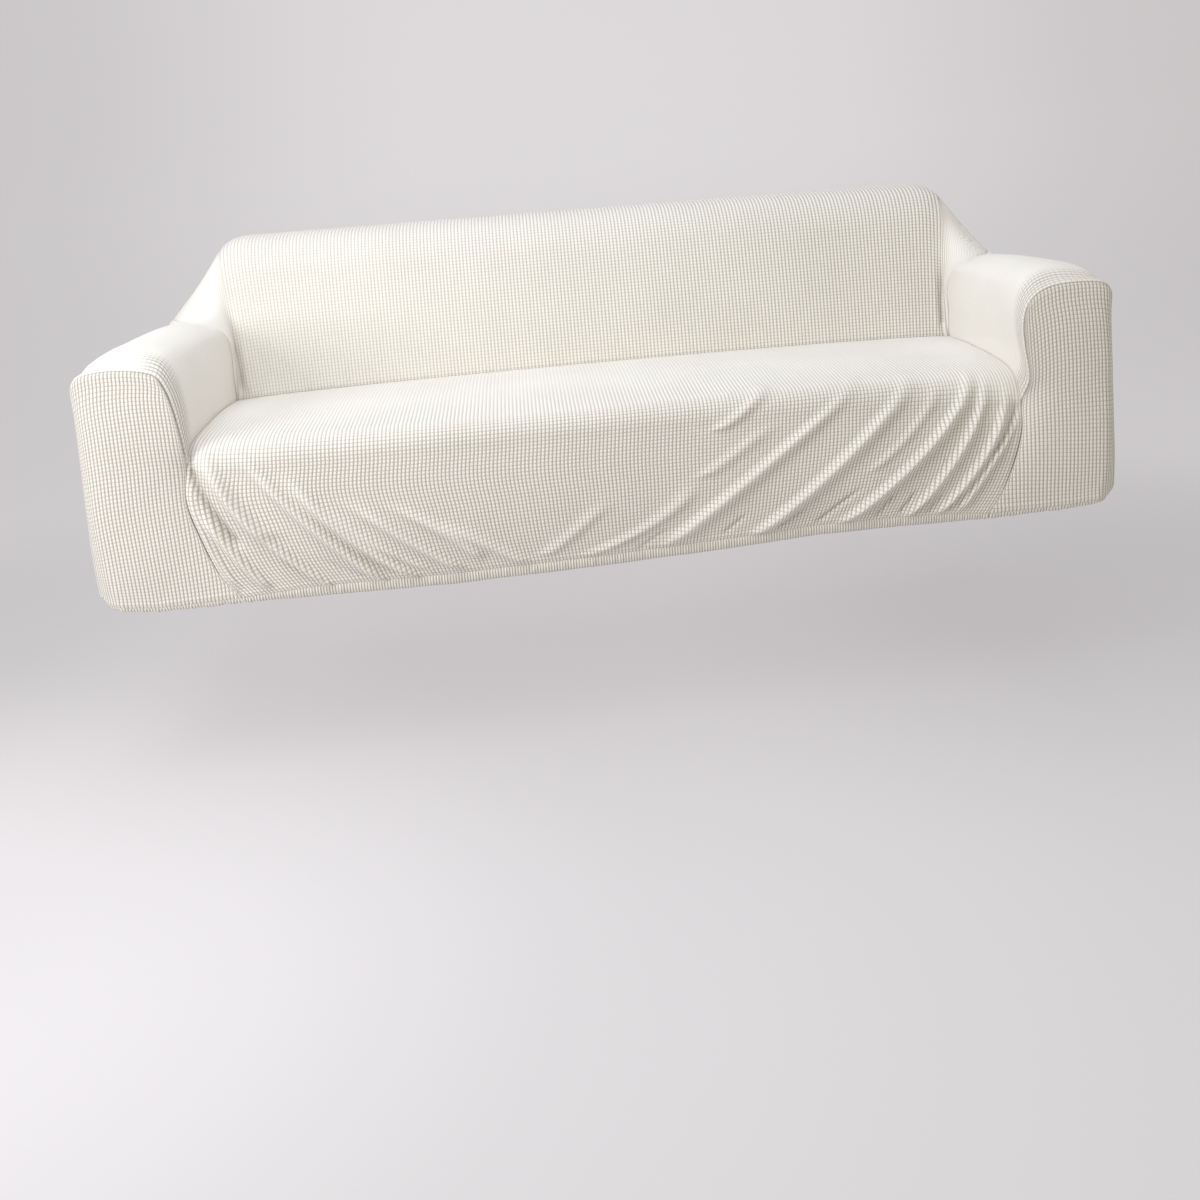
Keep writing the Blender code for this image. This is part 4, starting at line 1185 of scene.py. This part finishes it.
@dataclass
class InsideBack(KnitPanel):
    """The inside back, the top and the two wings that it stretches over the rear of the arms."""

    hemmed: bool = False
    ribs: int = 206
    wing_ribs: int = 15
    rib_spacing: tuple[float, ...] = (0.87, 0.99, 1.065, 1.12, 1.07)  # relative, from the left to the right
    spacing_at: tuple[float, ...] = (0.0, 0.2, 0.4, 0.7, 1.0)
    edge_x: float = 0.878
    top_z: float = 0.712
    lean: float = 0.083
    swell: float = 0.016
    bend_start: float = 0.8  # share of the rise at which the back begins to bend over into its top
    bend_length: float = 0.2
    bend_depth: float = 0.022
    bend_drop: float = 0.006
    top_depth: float = 0.135
    top_crown: float = 0.010
    crown_place: float = 0.9  # how much of its half wave the top's crown takes
    corner_drop: float = 0.015
    corner_reach: float = 0.055
    wing_sag: float = 0.008
    flares: tuple[float, float] = (0.038, 0.036)
    fan_step: float = 17.0  # where the wing's ribs meet, in steps up the back's edge
    fan_pitch: float = 0.036  # angle from rib to rib of a wing
    fan_start: float = 0.08  # within this reach of the corner the back's edge counts as straight
    fan_fade: float = 0.012  # the ribs' relief ends so close beside the back's edge
    joined_fade: float = 0.030
    bare_corner: float = 0.03
    bare_corner_fade: float = 0.07
    bare_turn: float = 0.015
    bare_turn_width: float = 0.010
    wing_fade: float = 0.04
    # Each pair is for the left and the right. The left keeps less of the grid's painted shade, a painted
    # highlight where the light falls strongest.
    wing_drawn: tuple[float, float] = (0.08, 0.30)  # share of the back's knit that each wing shows
    back_drawn: tuple[float, float] = (0.52, 0.98)  # how strongly the back's left and right edge show it
    back_crossed: tuple[float, float] = (0.38, 0.82)  # the same for the lines across
    wing_crossed: float = 0.8  # how much fainter than the ribs the lines across a wing are
    edge_points: int = 600  # points along the top seam's middle, and then along each wing's part of it
    wing_edge_points: int = 80
    softening: float = 0.5  # how far a point moves to the middle of its neighbours at each pass
    edge_softness: int = 60  # passes over the turn from the back to a wing
    edge_reach: int = 24  # columns to each side of that turn
    edge_spread: float = 10.0
    edge_fade: float = 1.5
    top_softness: int = 30  # passes over the edge between the front and the top
    top_start: float = 13.0
    top_start_fade: float = 2.0
    top_end_fade: float = 1.2
    top_side: float = 0.4  # where they begin, in widths of a wing from its outer seam
    top_side_fade: float = 1.6

    def rows(self) -> np.ndarray:
        """The rows of the sheet, in steps of the part's grid."""
        rise, last = BACK_RISE_STEPS, BACK_RISE_STEPS + BACK_TOP_STEPS
        return spaced(
            (0, 0.2, 4),
            (0.2, 12, 28),
            (12, rise, 16),
            (rise, last - 0.12, 15),
            (last - 0.12, last, 4),
        )

    def middle(self, rows: np.ndarray, xs: np.ndarray) -> np.ndarray:
        """The back between its two edges.

        Args:
            rows: Places up the back and over its top, in steps of the part's grid.
            xs: Places across it, in metres at the crease.

        Returns:
            Points, rows by columns.
        """
        spread = (xs / self.edge_x) ** 2
        swell = self.swell * (1.0 - spread)
        crease = crease_line(xs)
        corner = np.clip((np.abs(xs) - self.edge_x) / self.corner_reach + 1.0, 0.0, 1.0)
        top_z = self.top_z - self.corner_drop * corner**2
        climb = top_z - self.top_crown - crease[:, 2]
        flare = np.where(xs < 0, -self.flares[0], self.flares[1]) * spread**2
        points = np.zeros((len(rows), len(xs), 3))
        for row, step in enumerate(rows):
            up = min(1.0, step / BACK_RISE_STEPS)
            bend = max(0.0, (up - self.bend_start) / self.bend_length)
            points[row, :, 0] = xs + flare * up
            points[row, :, 1] = CREASE_Y + self.lean * up - swell * math.sin(math.pi * up)
            points[row, :, 1] += self.bend_depth * bend**2
            points[row, :, 2] = crease[:, 2] + climb * up - self.bend_drop * bend * (1.0 - bend)
            if step > BACK_RISE_STEPS:
                back = (step - BACK_RISE_STEPS) / BACK_TOP_STEPS
                points[row, :, 1] += self.top_depth * back
                points[row, :, 2] += self.top_crown * math.sin(math.pi * min(1.0, back * self.crown_place))
        return points

    def patch(self, rows: np.ndarray, ribs: int, wing_ribs: int) -> np.ndarray:
        """The whole panel at the given rows, with so many columns for its middle and each wing."""
        share = np.linspace(0.0, 1.0, ribs + 1)
        gaps = np.interp((share[1:] + share[:-1]) / 2.0, self.spacing_at, self.rib_spacing)
        places = np.concatenate(([0.0], np.cumsum(gaps))) / gaps.sum()
        middle = self.middle(rows, self.edge_x * (2.0 * places - 1.0))
        out = np.linspace(0.0, 1.0, wing_ribs + 1)[None, :, None]
        sag = self.wing_sag * smoothstep((rows - ARM_INNER_STEPS) / ARM_TOP_STEPS)
        wings = []
        for side in Side:
            edge = middle[:, 0 if side is Side.LEFT else -1][:, None]
            outer = seam_at(arm_rear_knots(side), rows)[:, None]
            wing = edge + (outer - edge) * out
            wing[..., 2] -= sag[:, None] * np.sin(math.pi * out[..., 0])
            wings.append(wing[:, :0:-1] if side is Side.LEFT else wing[:, 1:])
        return np.concatenate([wings[0], middle, wings[1]], axis=1)

    def surface(self) -> tuple[np.ndarray, np.ndarray]:
        """The sheet's points, rows by columns, and the rib count at each column."""
        rows, fine = self.rows(), self.columns_per_rib
        points = self.patch(rows, self.ribs * fine, self.wing_ribs * fine)
        # The edge between the front and the top is soft.
        weight = smoothstep((rows - self.top_start) / self.top_start_fade)
        weight = weight * smoothstep((rows[-1] - rows) / self.top_end_fade)
        columns = np.arange(points.shape[1])
        from_seam = np.minimum(columns, columns[::-1]) / (self.wing_ribs * fine)
        across = smoothstep((from_seam - self.top_side) / self.top_side_fade)
        weight = self.softening * weight[:, None] * across[None, :]
        rounded = points.copy()
        for _ in range(self.top_softness):
            middle = (rounded[:-2] + rounded[2:]) / 2.0
            rounded[1:-1] += weight[1:-1, :, None] * (middle - rounded[1:-1])
        # So is the turn from the back to each wing.
        reach = self.edge_reach
        away = np.arange(2 * reach + 1) - reach
        bell = self.softening * np.exp(-((away / self.edge_spread) ** 2))[None, 1:-1, None]
        turn = bell * smoothstep((rows[-1] - rows) / self.edge_fade)[:, None, None]
        turn = turn * smoothstep(rows / self.edge_fade)[:, None, None]
        for edge in (self.wing_ribs * fine, points.shape[1] - 1 - self.wing_ribs * fine):
            strip = rounded[:, edge - reach : edge + reach + 1]
            for _ in range(self.edge_softness):
                strip[:, 1:-1] += turn * ((strip[:, :-2] + strip[:, 2:]) / 2.0 - strip[:, 1:-1])
        count = self.ribs + 2 * self.wing_ribs
        return rounded, np.linspace(0.0, count, points.shape[1])

    def lay(self, cloth: Cloth) -> None:
        """Fan the ribs of each wing out from the back's top corner, as the wing is pulled over the arm."""
        cloth.drawn[:] = np.interp(cloth.points[..., 0], (-self.edge_x, self.edge_x), self.back_drawn)
        cloth.crossed[:] = np.interp(cloth.points[..., 0], (-self.edge_x, self.edge_x), self.back_crossed)
        fine = self.wing_ribs * self.columns_per_rib
        corner_row = int(np.argmin(np.abs(self.rows() - self.fan_step)))
        for side, shown in zip(Side, self.wing_drawn):
            edge = fine if side is Side.LEFT else cloth.points.shape[1] - 1 - fine
            columns = slice(edge, None, -1) if side is Side.LEFT else slice(edge, None)
            wing = cloth.points[:, columns]
            flat = self.unfolded(wing)
            away = flat - flat[corner_row, 0]
            down = unit(away[0, 0])
            reach = np.linalg.norm(away, axis=2)
            angle = np.arctan2(away[..., 1] * down[0] - away[..., 0] * down[1], away @ down)
            # What the back's edge has at the same reach, so that nothing jumps there.
            below = slice(corner_row, None, -1)
            known = reach[below, 0]
            edge_angle = angle[below, 0] * smoothstep(known / self.fan_start)
            edge_angle = np.interp(reach, known, edge_angle)
            course = np.interp(reach, known, cloth.course[below, edge])
            count = side.value * (angle - edge_angle) / self.fan_pitch
            out = np.linalg.norm(wing - wing[:, :1], axis=2)
            behind = np.arange(len(wing))[:, None] > corner_row
            joined = np.where(behind, smoothstep(out / self.joined_fade), 1.0)
            cloth.rib[:, columns] = cloth.rib[:, edge][:, None] + joined * count
            cloth.course[:, columns] += joined * (course - cloth.course[:, columns])
            fanned = smoothstep(out / self.fan_fade)
            cloth.aligned[:, columns] = 1.0 - fanned
            # The knit fades near the corner, where its ribs meet, and where they turn behind it.
            near_corner = 1.0 - smoothstep((reach - self.bare_corner) / self.bare_corner_fade)
            turned = np.exp(-(((out - self.bare_turn) / self.bare_turn_width) ** 2))
            turned = np.where(behind, turned, 0.0)
            kept = 1.0 + (shown - 1.0) * smoothstep(out / self.wing_fade)
            kept = kept * (1.0 - fanned * near_corner) * (1.0 - turned)
            cloth.drawn[:, columns] *= kept
            cloth.crossed[:, columns] *= kept * (1.0 - self.wing_crossed * fanned)

    def unfolded(self, wing: np.ndarray) -> np.ndarray:
        """A wing laid flat beside the back's edge, row by row.

        Args:
            wing: Its points, rows by columns from the back's edge outwards.

        Returns:
            Two coordinates for each point: towards the rear and up.
        """
        edge = wing[:, 0]
        tangent = unit(np.gradient(edge, axis=0))
        ahead = unit(np.gradient(edge[:, 1:], axis=0))
        outward = unit(wing[:, -1] - edge)
        lean = np.clip(np.sum(outward * tangent, axis=1), -0.95, 0.95)[:, None]
        beside = np.stack([ahead[:, 1], -ahead[:, 0]], axis=1)
        way = lean * ahead + np.sqrt(1.0 - lean**2) * beside
        out = np.linalg.norm(wing - edge[:, None], axis=2)
        return edge[:, None, 1:] + out[..., None] * way[:, None]

    def top_edge(self, count: int) -> np.ndarray:
        """The seam to the outside back, evenly spaced across."""
        last = float(BACK_RISE_STEPS + BACK_TOP_STEPS)
        line = self.patch(np.array([last]), self.edge_points, self.wing_edge_points)
        return respaced(line, np.linspace(0.0, 1.0, count)[None, :], level=True)[0]


@dataclass
class OutsideBack(KnitPanel):
    """The plain rear panel, from the top seam and the wings' slopes down to the hem."""

    ribs: int = 268
    swell: float = 0.010
    inside: InsideBack | None = None

    def surface(self) -> tuple[np.ndarray, np.ndarray]:
        """The sheet's points, rows by columns, and the rib count at each column."""
        rows = spaced((0, 0.25, 2), (0.25, REAR_STEPS - 0.10, 46), (REAR_STEPS - 0.10, REAR_STEPS, 4))
        count = self.ribs * self.columns_per_rib + 1
        share = np.linspace(0.0, 1.0, count)
        start, end = (seam_at(arm_rear_knots(side), ARM_STEPS - rows) for side in Side)
        hem = side_hem(start[0], end[0], count)
        top = self.inside.top_edge(count)
        plain = np.zeros((len(rows), count, 3))
        up = rows / REAR_STEPS
        points = fit_to_seams(plain, (hem, top, start, end), up, share)
        points[..., 1] += self.swell * np.outer(np.sin(np.pi * up), np.sin(np.pi * share))
        return points, share * self.ribs


@dataclass
class ArmSleeve(KnitPanel):
    """The sleeve of one arm: its outer side up from the hem, its top, and its inside down to the seat."""

    side: Side = Side.LEFT
    ribs: int = 91
    draft_points: int = 241  # points across the sleeve before its ribs are spaced
    top_drawn: float = 0.75  # how strongly the knit shows beside the front seam on the arm's top
    top_swell: float = 0.013
    side_swell: float = 0.006
    swell_margin: float = 0.15
    kept_strip: float = 0.030  # beside the front seam the knit isn't pulled smooth
    strip_fade: float = 0.045
    pull_from_z: float = 0.40  # on the outer side it is pulled smooth above here
    pull_fade: float = 0.09
    inner_x: float = 1.0  # and further in than this at every height
    top_x: float = 0.93
    top_fade: float = 0.05
    smoothness: float = 0.90
    crossed_smoothness: float = 0.2  # how much fainter than the ribs the lines across are there

    def surface(self) -> tuple[np.ndarray, np.ndarray]:
        """The sheet's points, rows by columns, and the rib count at each column."""
        last, top_at = ARM_STEPS, ARM_OUTER_STEPS
        inner_at = top_at + ARM_TOP_STEPS
        rows = spaced(
            (0, 0.4, 2),
            (0.4, top_at, 50),
            (top_at, inner_at, 40),
            (inner_at, last - 0.12, 20),
            (last - 0.12, last, 4),
        )
        front = seam_at(ARM_FRONT_SEAM[self.side], last + SKIRT_STEPS - rows)
        rear = seam_at(arm_rear_knots(self.side), last - rows)
        depth = np.linspace(0.0, 1.0, self.draft_points)
        crease = seam_at(SEAT_SIDE_SEAM[self.side], depth * (NOSE_STEPS + SEAT_STEPS))
        hem = side_hem(front[0], rear[0], len(depth))
        plain = np.zeros((len(rows), len(depth), 3))
        points = fit_to_seams(plain, (hem, crease, front, rear), rows / last, depth)
        outer = np.sin(np.pi * np.clip(rows / ARM_OUTER_STEPS, 0, 1))
        top = np.sin(np.pi * np.clip((rows - top_at + 1) / (ARM_TOP_STEPS + 2), 0, 1))
        inner = np.sin(np.pi * np.clip((rows - top_at - ARM_TOP_STEPS) / ARM_INNER_STEPS, 0, 1))
        along = smoothstep(depth / self.swell_margin) * smoothstep((1.0 - depth) / self.swell_margin)
        points[..., 2] += self.top_swell * np.outer(top, along)
        points[..., 0] += self.side.value * self.side_swell * np.outer(outer - inner, along)
        lengths = np.linalg.norm(np.diff(points, axis=1), axis=2).sum(axis=1)
        count = self.ribs * self.columns_per_rib + 1
        shares = held_ribs(count, lengths, lengths[0])
        return respaced(points, shares), np.linspace(0.0, self.ribs, count)

    def lay(self, cloth: Cloth) -> None:
        """The knit is pulled smooth over the arm's top and inside, apart from the ribs beside its front. On
        the top its grid's painted shade fades further, by top_drawn, as a painted highlight.
        """
        points = cloth.points
        outwards = self.side.value * points[..., 0]
        depth = np.linalg.norm(np.diff(points, axis=1), axis=2)
        depth = np.concatenate([np.zeros((len(points), 1)), np.cumsum(depth, axis=1)], axis=1)
        beside = 1.0 - smoothstep((depth - self.kept_strip) / self.strip_fade)
        pulled = smoothstep((points[..., 2] - self.pull_from_z) / self.pull_fade)
        pulled = np.where(outwards < self.inner_x, 1.0, pulled)
        on_top = pulled * smoothstep((outwards - self.top_x) / self.top_fade)
        cloth.drawn[:] = 1.0 - self.smoothness * pulled * (1.0 - beside)
        cloth.drawn[:] *= 1.0 - (1.0 - self.top_drawn) * on_top
        cloth.crossed[:] = cloth.drawn * (1.0 - self.crossed_smoothness * pulled)


@dataclass
class ArmFront(KnitPanel):
    """The upright panel on the front of one arm, wrapped a little round its outer corner."""

    side: Side = Side.LEFT
    ribs: int = 35
    draft_points: int = 241  # points across the panel before its ribs are spaced
    swell: float = 0.007
    seam_fades: tuple[float, float] = (5.0, 5.0)  # how fast a seam's depth fades up and across
    lines_drawn: float = 0.8

    def surface(self) -> tuple[np.ndarray, np.ndarray]:
        """The sheet's points, rows by columns, and the rib count at each column."""
        knots = ARM_FRONT_SEAM[self.side]
        rise = ARM_OUTER_STEPS
        rows = spaced((0, 0.25, 2), (0.25, rise - 0.15, 86), (rise - 0.15, rise, 5))
        last = rise + ARM_TOP_STEPS + rise
        inner, outer = seam_at(knots, rows), seam_at(knots, last - rows)
        across = np.linspace(0.0, 1.0, self.draft_points)
        top = seam_at(knots, rise + ARM_TOP_STEPS * across)
        share = np.linalg.norm(np.diff(top, axis=0), axis=1)
        share = np.concatenate(([0.0], np.cumsum(share))) / share.sum()
        hem = front_hem(inner[0, 0] + (outer[0, 0] - inner[0, 0]) * share, inner[0], outer[0])
        edges = (hem, top, inner, outer)
        up = rows / rise
        points = fit_to_seams(np.zeros((len(rows), len(across), 3)), edges, up, across)
        upright = hem[None] * (1.0 - up)[:, None, None] + top[None] * up[:, None, None]
        points[..., 1] = fit_to_seams(upright, edges, up, across, self.seam_fades)[..., 1]
        points[..., 1] -= self.swell * np.outer(np.sin(np.pi * up), np.sin(np.pi * share))
        lengths = np.linalg.norm(np.diff(points, axis=1), axis=2).sum(axis=1)
        count = self.ribs * self.columns_per_rib + 1
        # Ribs keep their spacing from the outer edge, and crowd together at the inner seam.
        shares = 1.0 - held_ribs(count, lengths, lengths[0])[:, ::-1]
        return respaced(points, shares), np.linspace(0.0, self.ribs, count)

    def lay(self, cloth: Cloth) -> None:
        """The lines across the ribs are fainter than the ribs."""
        cloth.crossed[:] = self.lines_drawn


class PaintedPool(NamedTuple):
    """A soft round patch of painted light on the backdrop, or of painted shade where its gain is below 1."""

    place: tuple[float, float, float]
    inner: float
    outer: float
    gain: float


class Lamp(NamedTuple):
    """A square soft box: where it hangs, what it faces, its side, its power in watts and its tint."""

    name: str
    place: tuple[float, float, float]
    target: tuple[float, float, float]
    size: float
    power: float
    tint: str


@dataclass(frozen=True)
class PaleStudio:
    """A plain pale floor that curves up into a backdrop, with soft boxes above and in front."""

    front_y: float = -6.0
    floor_z: float = -0.40
    wall_y: float = 3.2
    wall_top: float = 6.0
    half_width: float = 8.0
    bend: float = 1.6
    bend_steps: int = 16
    floor_paint: str = "7D7B7E"
    wall_paint: str = "A09EA0"
    paint_rise: float = 1.2  # height over which the floor's paint turns into the wall's
    roughness: float = 0.8
    glow: float = 0.47  # light that the backdrop gives by itself, as one lit from behind does
    glow_tint: str = "FFFBFD"
    air_glow: float = 0.205
    air_tint: str = "FFF7E2"
    lamps: tuple[Lamp, ...] = (
        Lamp("key", (-1.2, -1.5, 2.5), (-0.15, 0.0, 0.3), 1.4, 36.0, "F5FBFF"),
        Lamp("side", (-2.6, -2.2, 1.3), (0.2, 0.0, 0.2), 1.4, 47.0, "FFFFFF"),
        Lamp("top", (0.5, 0.1, 3.0), (0.2, 0.0, 0.4), 3.0, 37.5, "E9EFFF"),
        Lamp("fill", (2.4, -3.0, 1.8), (0.2, 0.0, 0.3), 3.0, 26.0, "FFFCEA"),
    )
    painted_pools: tuple[PaintedPool, ...] = (
        PaintedPool((-1.40, -0.90, -0.40), 0.3, 1.4, 1.22),
        PaintedPool((1.50, 0.10, -0.40), 0.2, 1.5, 0.86),
        PaintedPool((-1.90, 0.80, -0.40), 0.2, 1.2, 0.91),
        PaintedPool((-2.60, 3.20, 1.20), 0.2, 2.1, 0.86),
        PaintedPool((3.30, 3.20, 1.20), 0.2, 2.2, 0.90),
        PaintedPool((-0.20, -1.20, -0.40), 0.1, 1.2, 1.06),
    )

    def build(self) -> None:
        """Build the backdrop, the lights and the world."""
        self._backdrop()
        for lamp in self.lamps:
            self._hang(lamp)
        world = bpy.data.worlds.new("studio_air")
        bpy.context.scene.world = world
        world.use_nodes = True
        sky = world.node_tree.nodes["Background"]
        sky.inputs["Color"].default_value = srgb(self.air_tint)
        sky.inputs["Strength"].default_value = self.air_glow
        bpy.context.scene.view_settings.view_transform = "Standard"

    def _hang(self, lamp: Lamp) -> None:
        """Put one soft box in the scene."""
        light = bpy.data.lights.new(lamp.name, "AREA")
        light.size = lamp.size
        light.energy = lamp.power
        light.color = srgb(lamp.tint)[:3]
        holder = bpy.data.objects.new(lamp.name, light)
        holder.location = lamp.place
        aim = Vector(lamp.target) - Vector(lamp.place)
        holder.rotation_euler = aim.to_track_quat("-Z", "Y").to_euler()
        bpy.context.scene.collection.objects.link(holder)

    def _backdrop(self) -> None:
        """The floor and the wall behind it in one sheet."""
        profile = [(self.front_y, self.floor_z), (self.wall_y - self.bend, self.floor_z)]
        for step in range(1, self.bend_steps + 1):
            turn = math.pi / 2 * step / self.bend_steps
            back = self.wall_y - self.bend + self.bend * math.sin(turn)
            profile.append((back, self.floor_z + self.bend * (1.0 - math.cos(turn))))
        profile.append((self.wall_y, self.wall_top))
        points = [(x, y, z) for y, z in profile for x in (-self.half_width, self.half_width)]
        faces = [(2 * row, 2 * row + 1, 2 * row + 3, 2 * row + 2) for row in range(len(profile) - 1)]
        mesh = bpy.data.meshes.new("pale_floor")
        mesh.from_pydata(points, [], faces)
        mesh.shade_smooth()
        mesh.materials.append(self._paint())
        floor = bpy.data.objects.new("pale_floor", mesh)
        bpy.context.scene.collection.objects.link(floor)

    def _paint(self) -> bpy.types.Material:
        """Matt studio paint, greyer on the floor, which gets more light, than on the wall."""
        material = bpy.data.materials.new("matt_studio_paint")
        material.use_nodes = True
        tree = material.node_tree
        shader = tree.nodes["Principled BSDF"]
        place = add_node(tree, "ShaderNodeTexCoord").outputs["Object"]
        height = add_node(tree, "ShaderNodeSeparateXYZ", {0: place}).outputs["Z"]
        share = add_node(
            tree,
            "ShaderNodeMapRange",
            {"Value": height, "From Min": self.floor_z, "From Max": self.floor_z + self.paint_rise},
            interpolation_type="SMOOTHSTEP",
        ).outputs["Result"]
        paint = add_node(
            tree,
            "ShaderNodeMix",
            {0: share, 6: srgb(self.floor_paint), 7: srgb(self.wall_paint)},
            data_type="RGBA",
        ).outputs[2]
        # Painted patches of light and shade, on the paint and on its glow alike.
        gain = self._gain(tree, place)
        paint = add_node(
            tree, "ShaderNodeVectorMath", {0: paint, "Scale": gain}, operation="SCALE"
        ).outputs["Vector"]
        glow = add_node(tree, "ShaderNodeMath", {0: gain, 1: self.glow}, operation="MULTIPLY").outputs[0]
        tree.links.new(paint, shader.inputs["Base Color"])
        tree.links.new(glow, shader.inputs["Emission Strength"])
        shader.inputs["Roughness"].default_value = self.roughness
        shader.inputs["Emission Color"].default_value = srgb(self.glow_tint)
        return material

    def _gain(self, tree: bpy.types.NodeTree, place: bpy.types.NodeSocket) -> bpy.types.NodeSocket:
        """Painted light and shade on the backdrop at a place: the product of all its painted patches.

        Args:
            tree: The backdrop's material tree.
            place: The place's socket.

        Returns:
            The factor's socket.
        """
        gain: bpy.types.NodeSocket | float = 1.0
        for pool in self.painted_pools:
            away = add_node(tree, "ShaderNodeVectorMath", {0: place, 1: pool.place}, operation="DISTANCE")
            factor = add_node(
                tree,
                "ShaderNodeMapRange",
                {
                    "Value": away.outputs["Value"],
                    "From Min": pool.inner,
                    "From Max": pool.outer,
                    "To Min": pool.gain,
                    "To Max": 1.0,
                },
                interpolation_type="SMOOTHSTEP",
            ).outputs["Result"]
            gain = add_node(tree, "ShaderNodeMath", {0: factor, 1: gain}, operation="MULTIPLY").outputs[0]
        return gain


@dataclass(frozen=True)
class ProductCamera:
    """A camera a little left of the middle, level with the seated eye, rolled as the picture is."""

    place: tuple[float, float, float] = (-0.1864, -3.0643, 0.9740)
    yaw: float = -0.129282
    pitch: float = -0.138572
    roll: float = 0.067067
    lens: float = 39.0
    sensor: float = 36.0
    shift: tuple[float, float] = (-0.0761, -0.2653)

    def build(self) -> None:
        """Put the camera in the scene."""
        camera = bpy.data.cameras.new("product_camera")
        camera.sensor_width = self.sensor
        camera.sensor_fit = "HORIZONTAL"
        camera.lens = self.lens
        camera.shift_x, camera.shift_y = self.shift
        holder = bpy.data.objects.new("product_camera", camera)
        turn = Matrix.Rotation(self.yaw, 4, "Z") @ Matrix.Rotation(self.pitch, 4, "X")
        turn = turn @ Matrix.Rotation(self.roll, 4, "Y") @ Matrix.Rotation(math.pi / 2, 4, "X")
        holder.matrix_world = Matrix.Translation(self.place) @ turn
        bpy.context.scene.collection.objects.link(holder)
        bpy.context.scene.camera = holder


def cover_panels() -> list[KnitPanel]:
    """The seven panels, in the order in which they are sewn."""
    inside = InsideBack(
        name="inside_back_knit",
        node="inside_back",
        outward=1,
        flat=(2.20, 0.65),
        area=1.07,
        sewn_to=("seat_and_skirt", "outside_back"),
        seed=2,
        seam_line=0.3,
    )
    panels: list[KnitPanel] = [
        SeatAndSkirt(
            name="seat_and_skirt_knit",
            node="seat_and_skirt",
            outward=1,
            flat=(1.80, 0.87),
            area=1.50,
            sewn_to=("inside_back",),
            seed=1,
            stretch=0.93,
            seam_line=0.3,
        ),
        inside,
        OutsideBack(
            name="outside_back_knit",
            node="outside_back",
            outward=-1,
            flat=(2.20, 0.73),
            area=1.50,
            sewn_to=("inside_back",),
            seed=3,
            inside=inside,
        ),
    ]
    for side in Side:
        label = side.name.lower()
        panels.append(
            ArmSleeve(
                name=f"arm_sleeve_{label}_knit",
                node=f"arm_sleeve_{label}",
                outward=side.value,
                flat=(0.79, 1.12),
                area=0.59,
                sewn_to=("inside_back", "seat_and_skirt"),
                seed=10 + side.value,
                side=side,
                # The left arm's top, where the light falls strongest, keeps less of the grid's painted shade:
                # a painted highlight.
                top_drawn=0.15 if side is Side.LEFT else 0.75,
            )
        )
        panels.append(
            ArmFront(
                name=f"arm_front_{label}_knit",
                node=f"arm_front_{label}",
                outward=side.value,
                flat=(0.31, 0.53),
                area=0.125,
                sewn_to=(f"arm_sleeve_{label}",),
                seed=20 + side.value,
                seam_line=0.6,
                side=side,
                ribs=41 if side is Side.LEFT else 37,
                stretch=0.96 if side is Side.LEFT else 1.08,
            )
        )
    return panels


def main() -> None:
    """Build the cover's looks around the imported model."""
    logging.basicConfig(level=logging.INFO, format="%(message)s")
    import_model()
    ProductCamera().build()
    PaleStudio().build()
    knit, casing = GridKnit(), HemCasing()
    finish, ribs = knit.material(), knit.rib_tree()
    for panel in cover_panels():
        panel.build(casing, knit, ribs, finish)


if __name__ == "__main__":
    main()
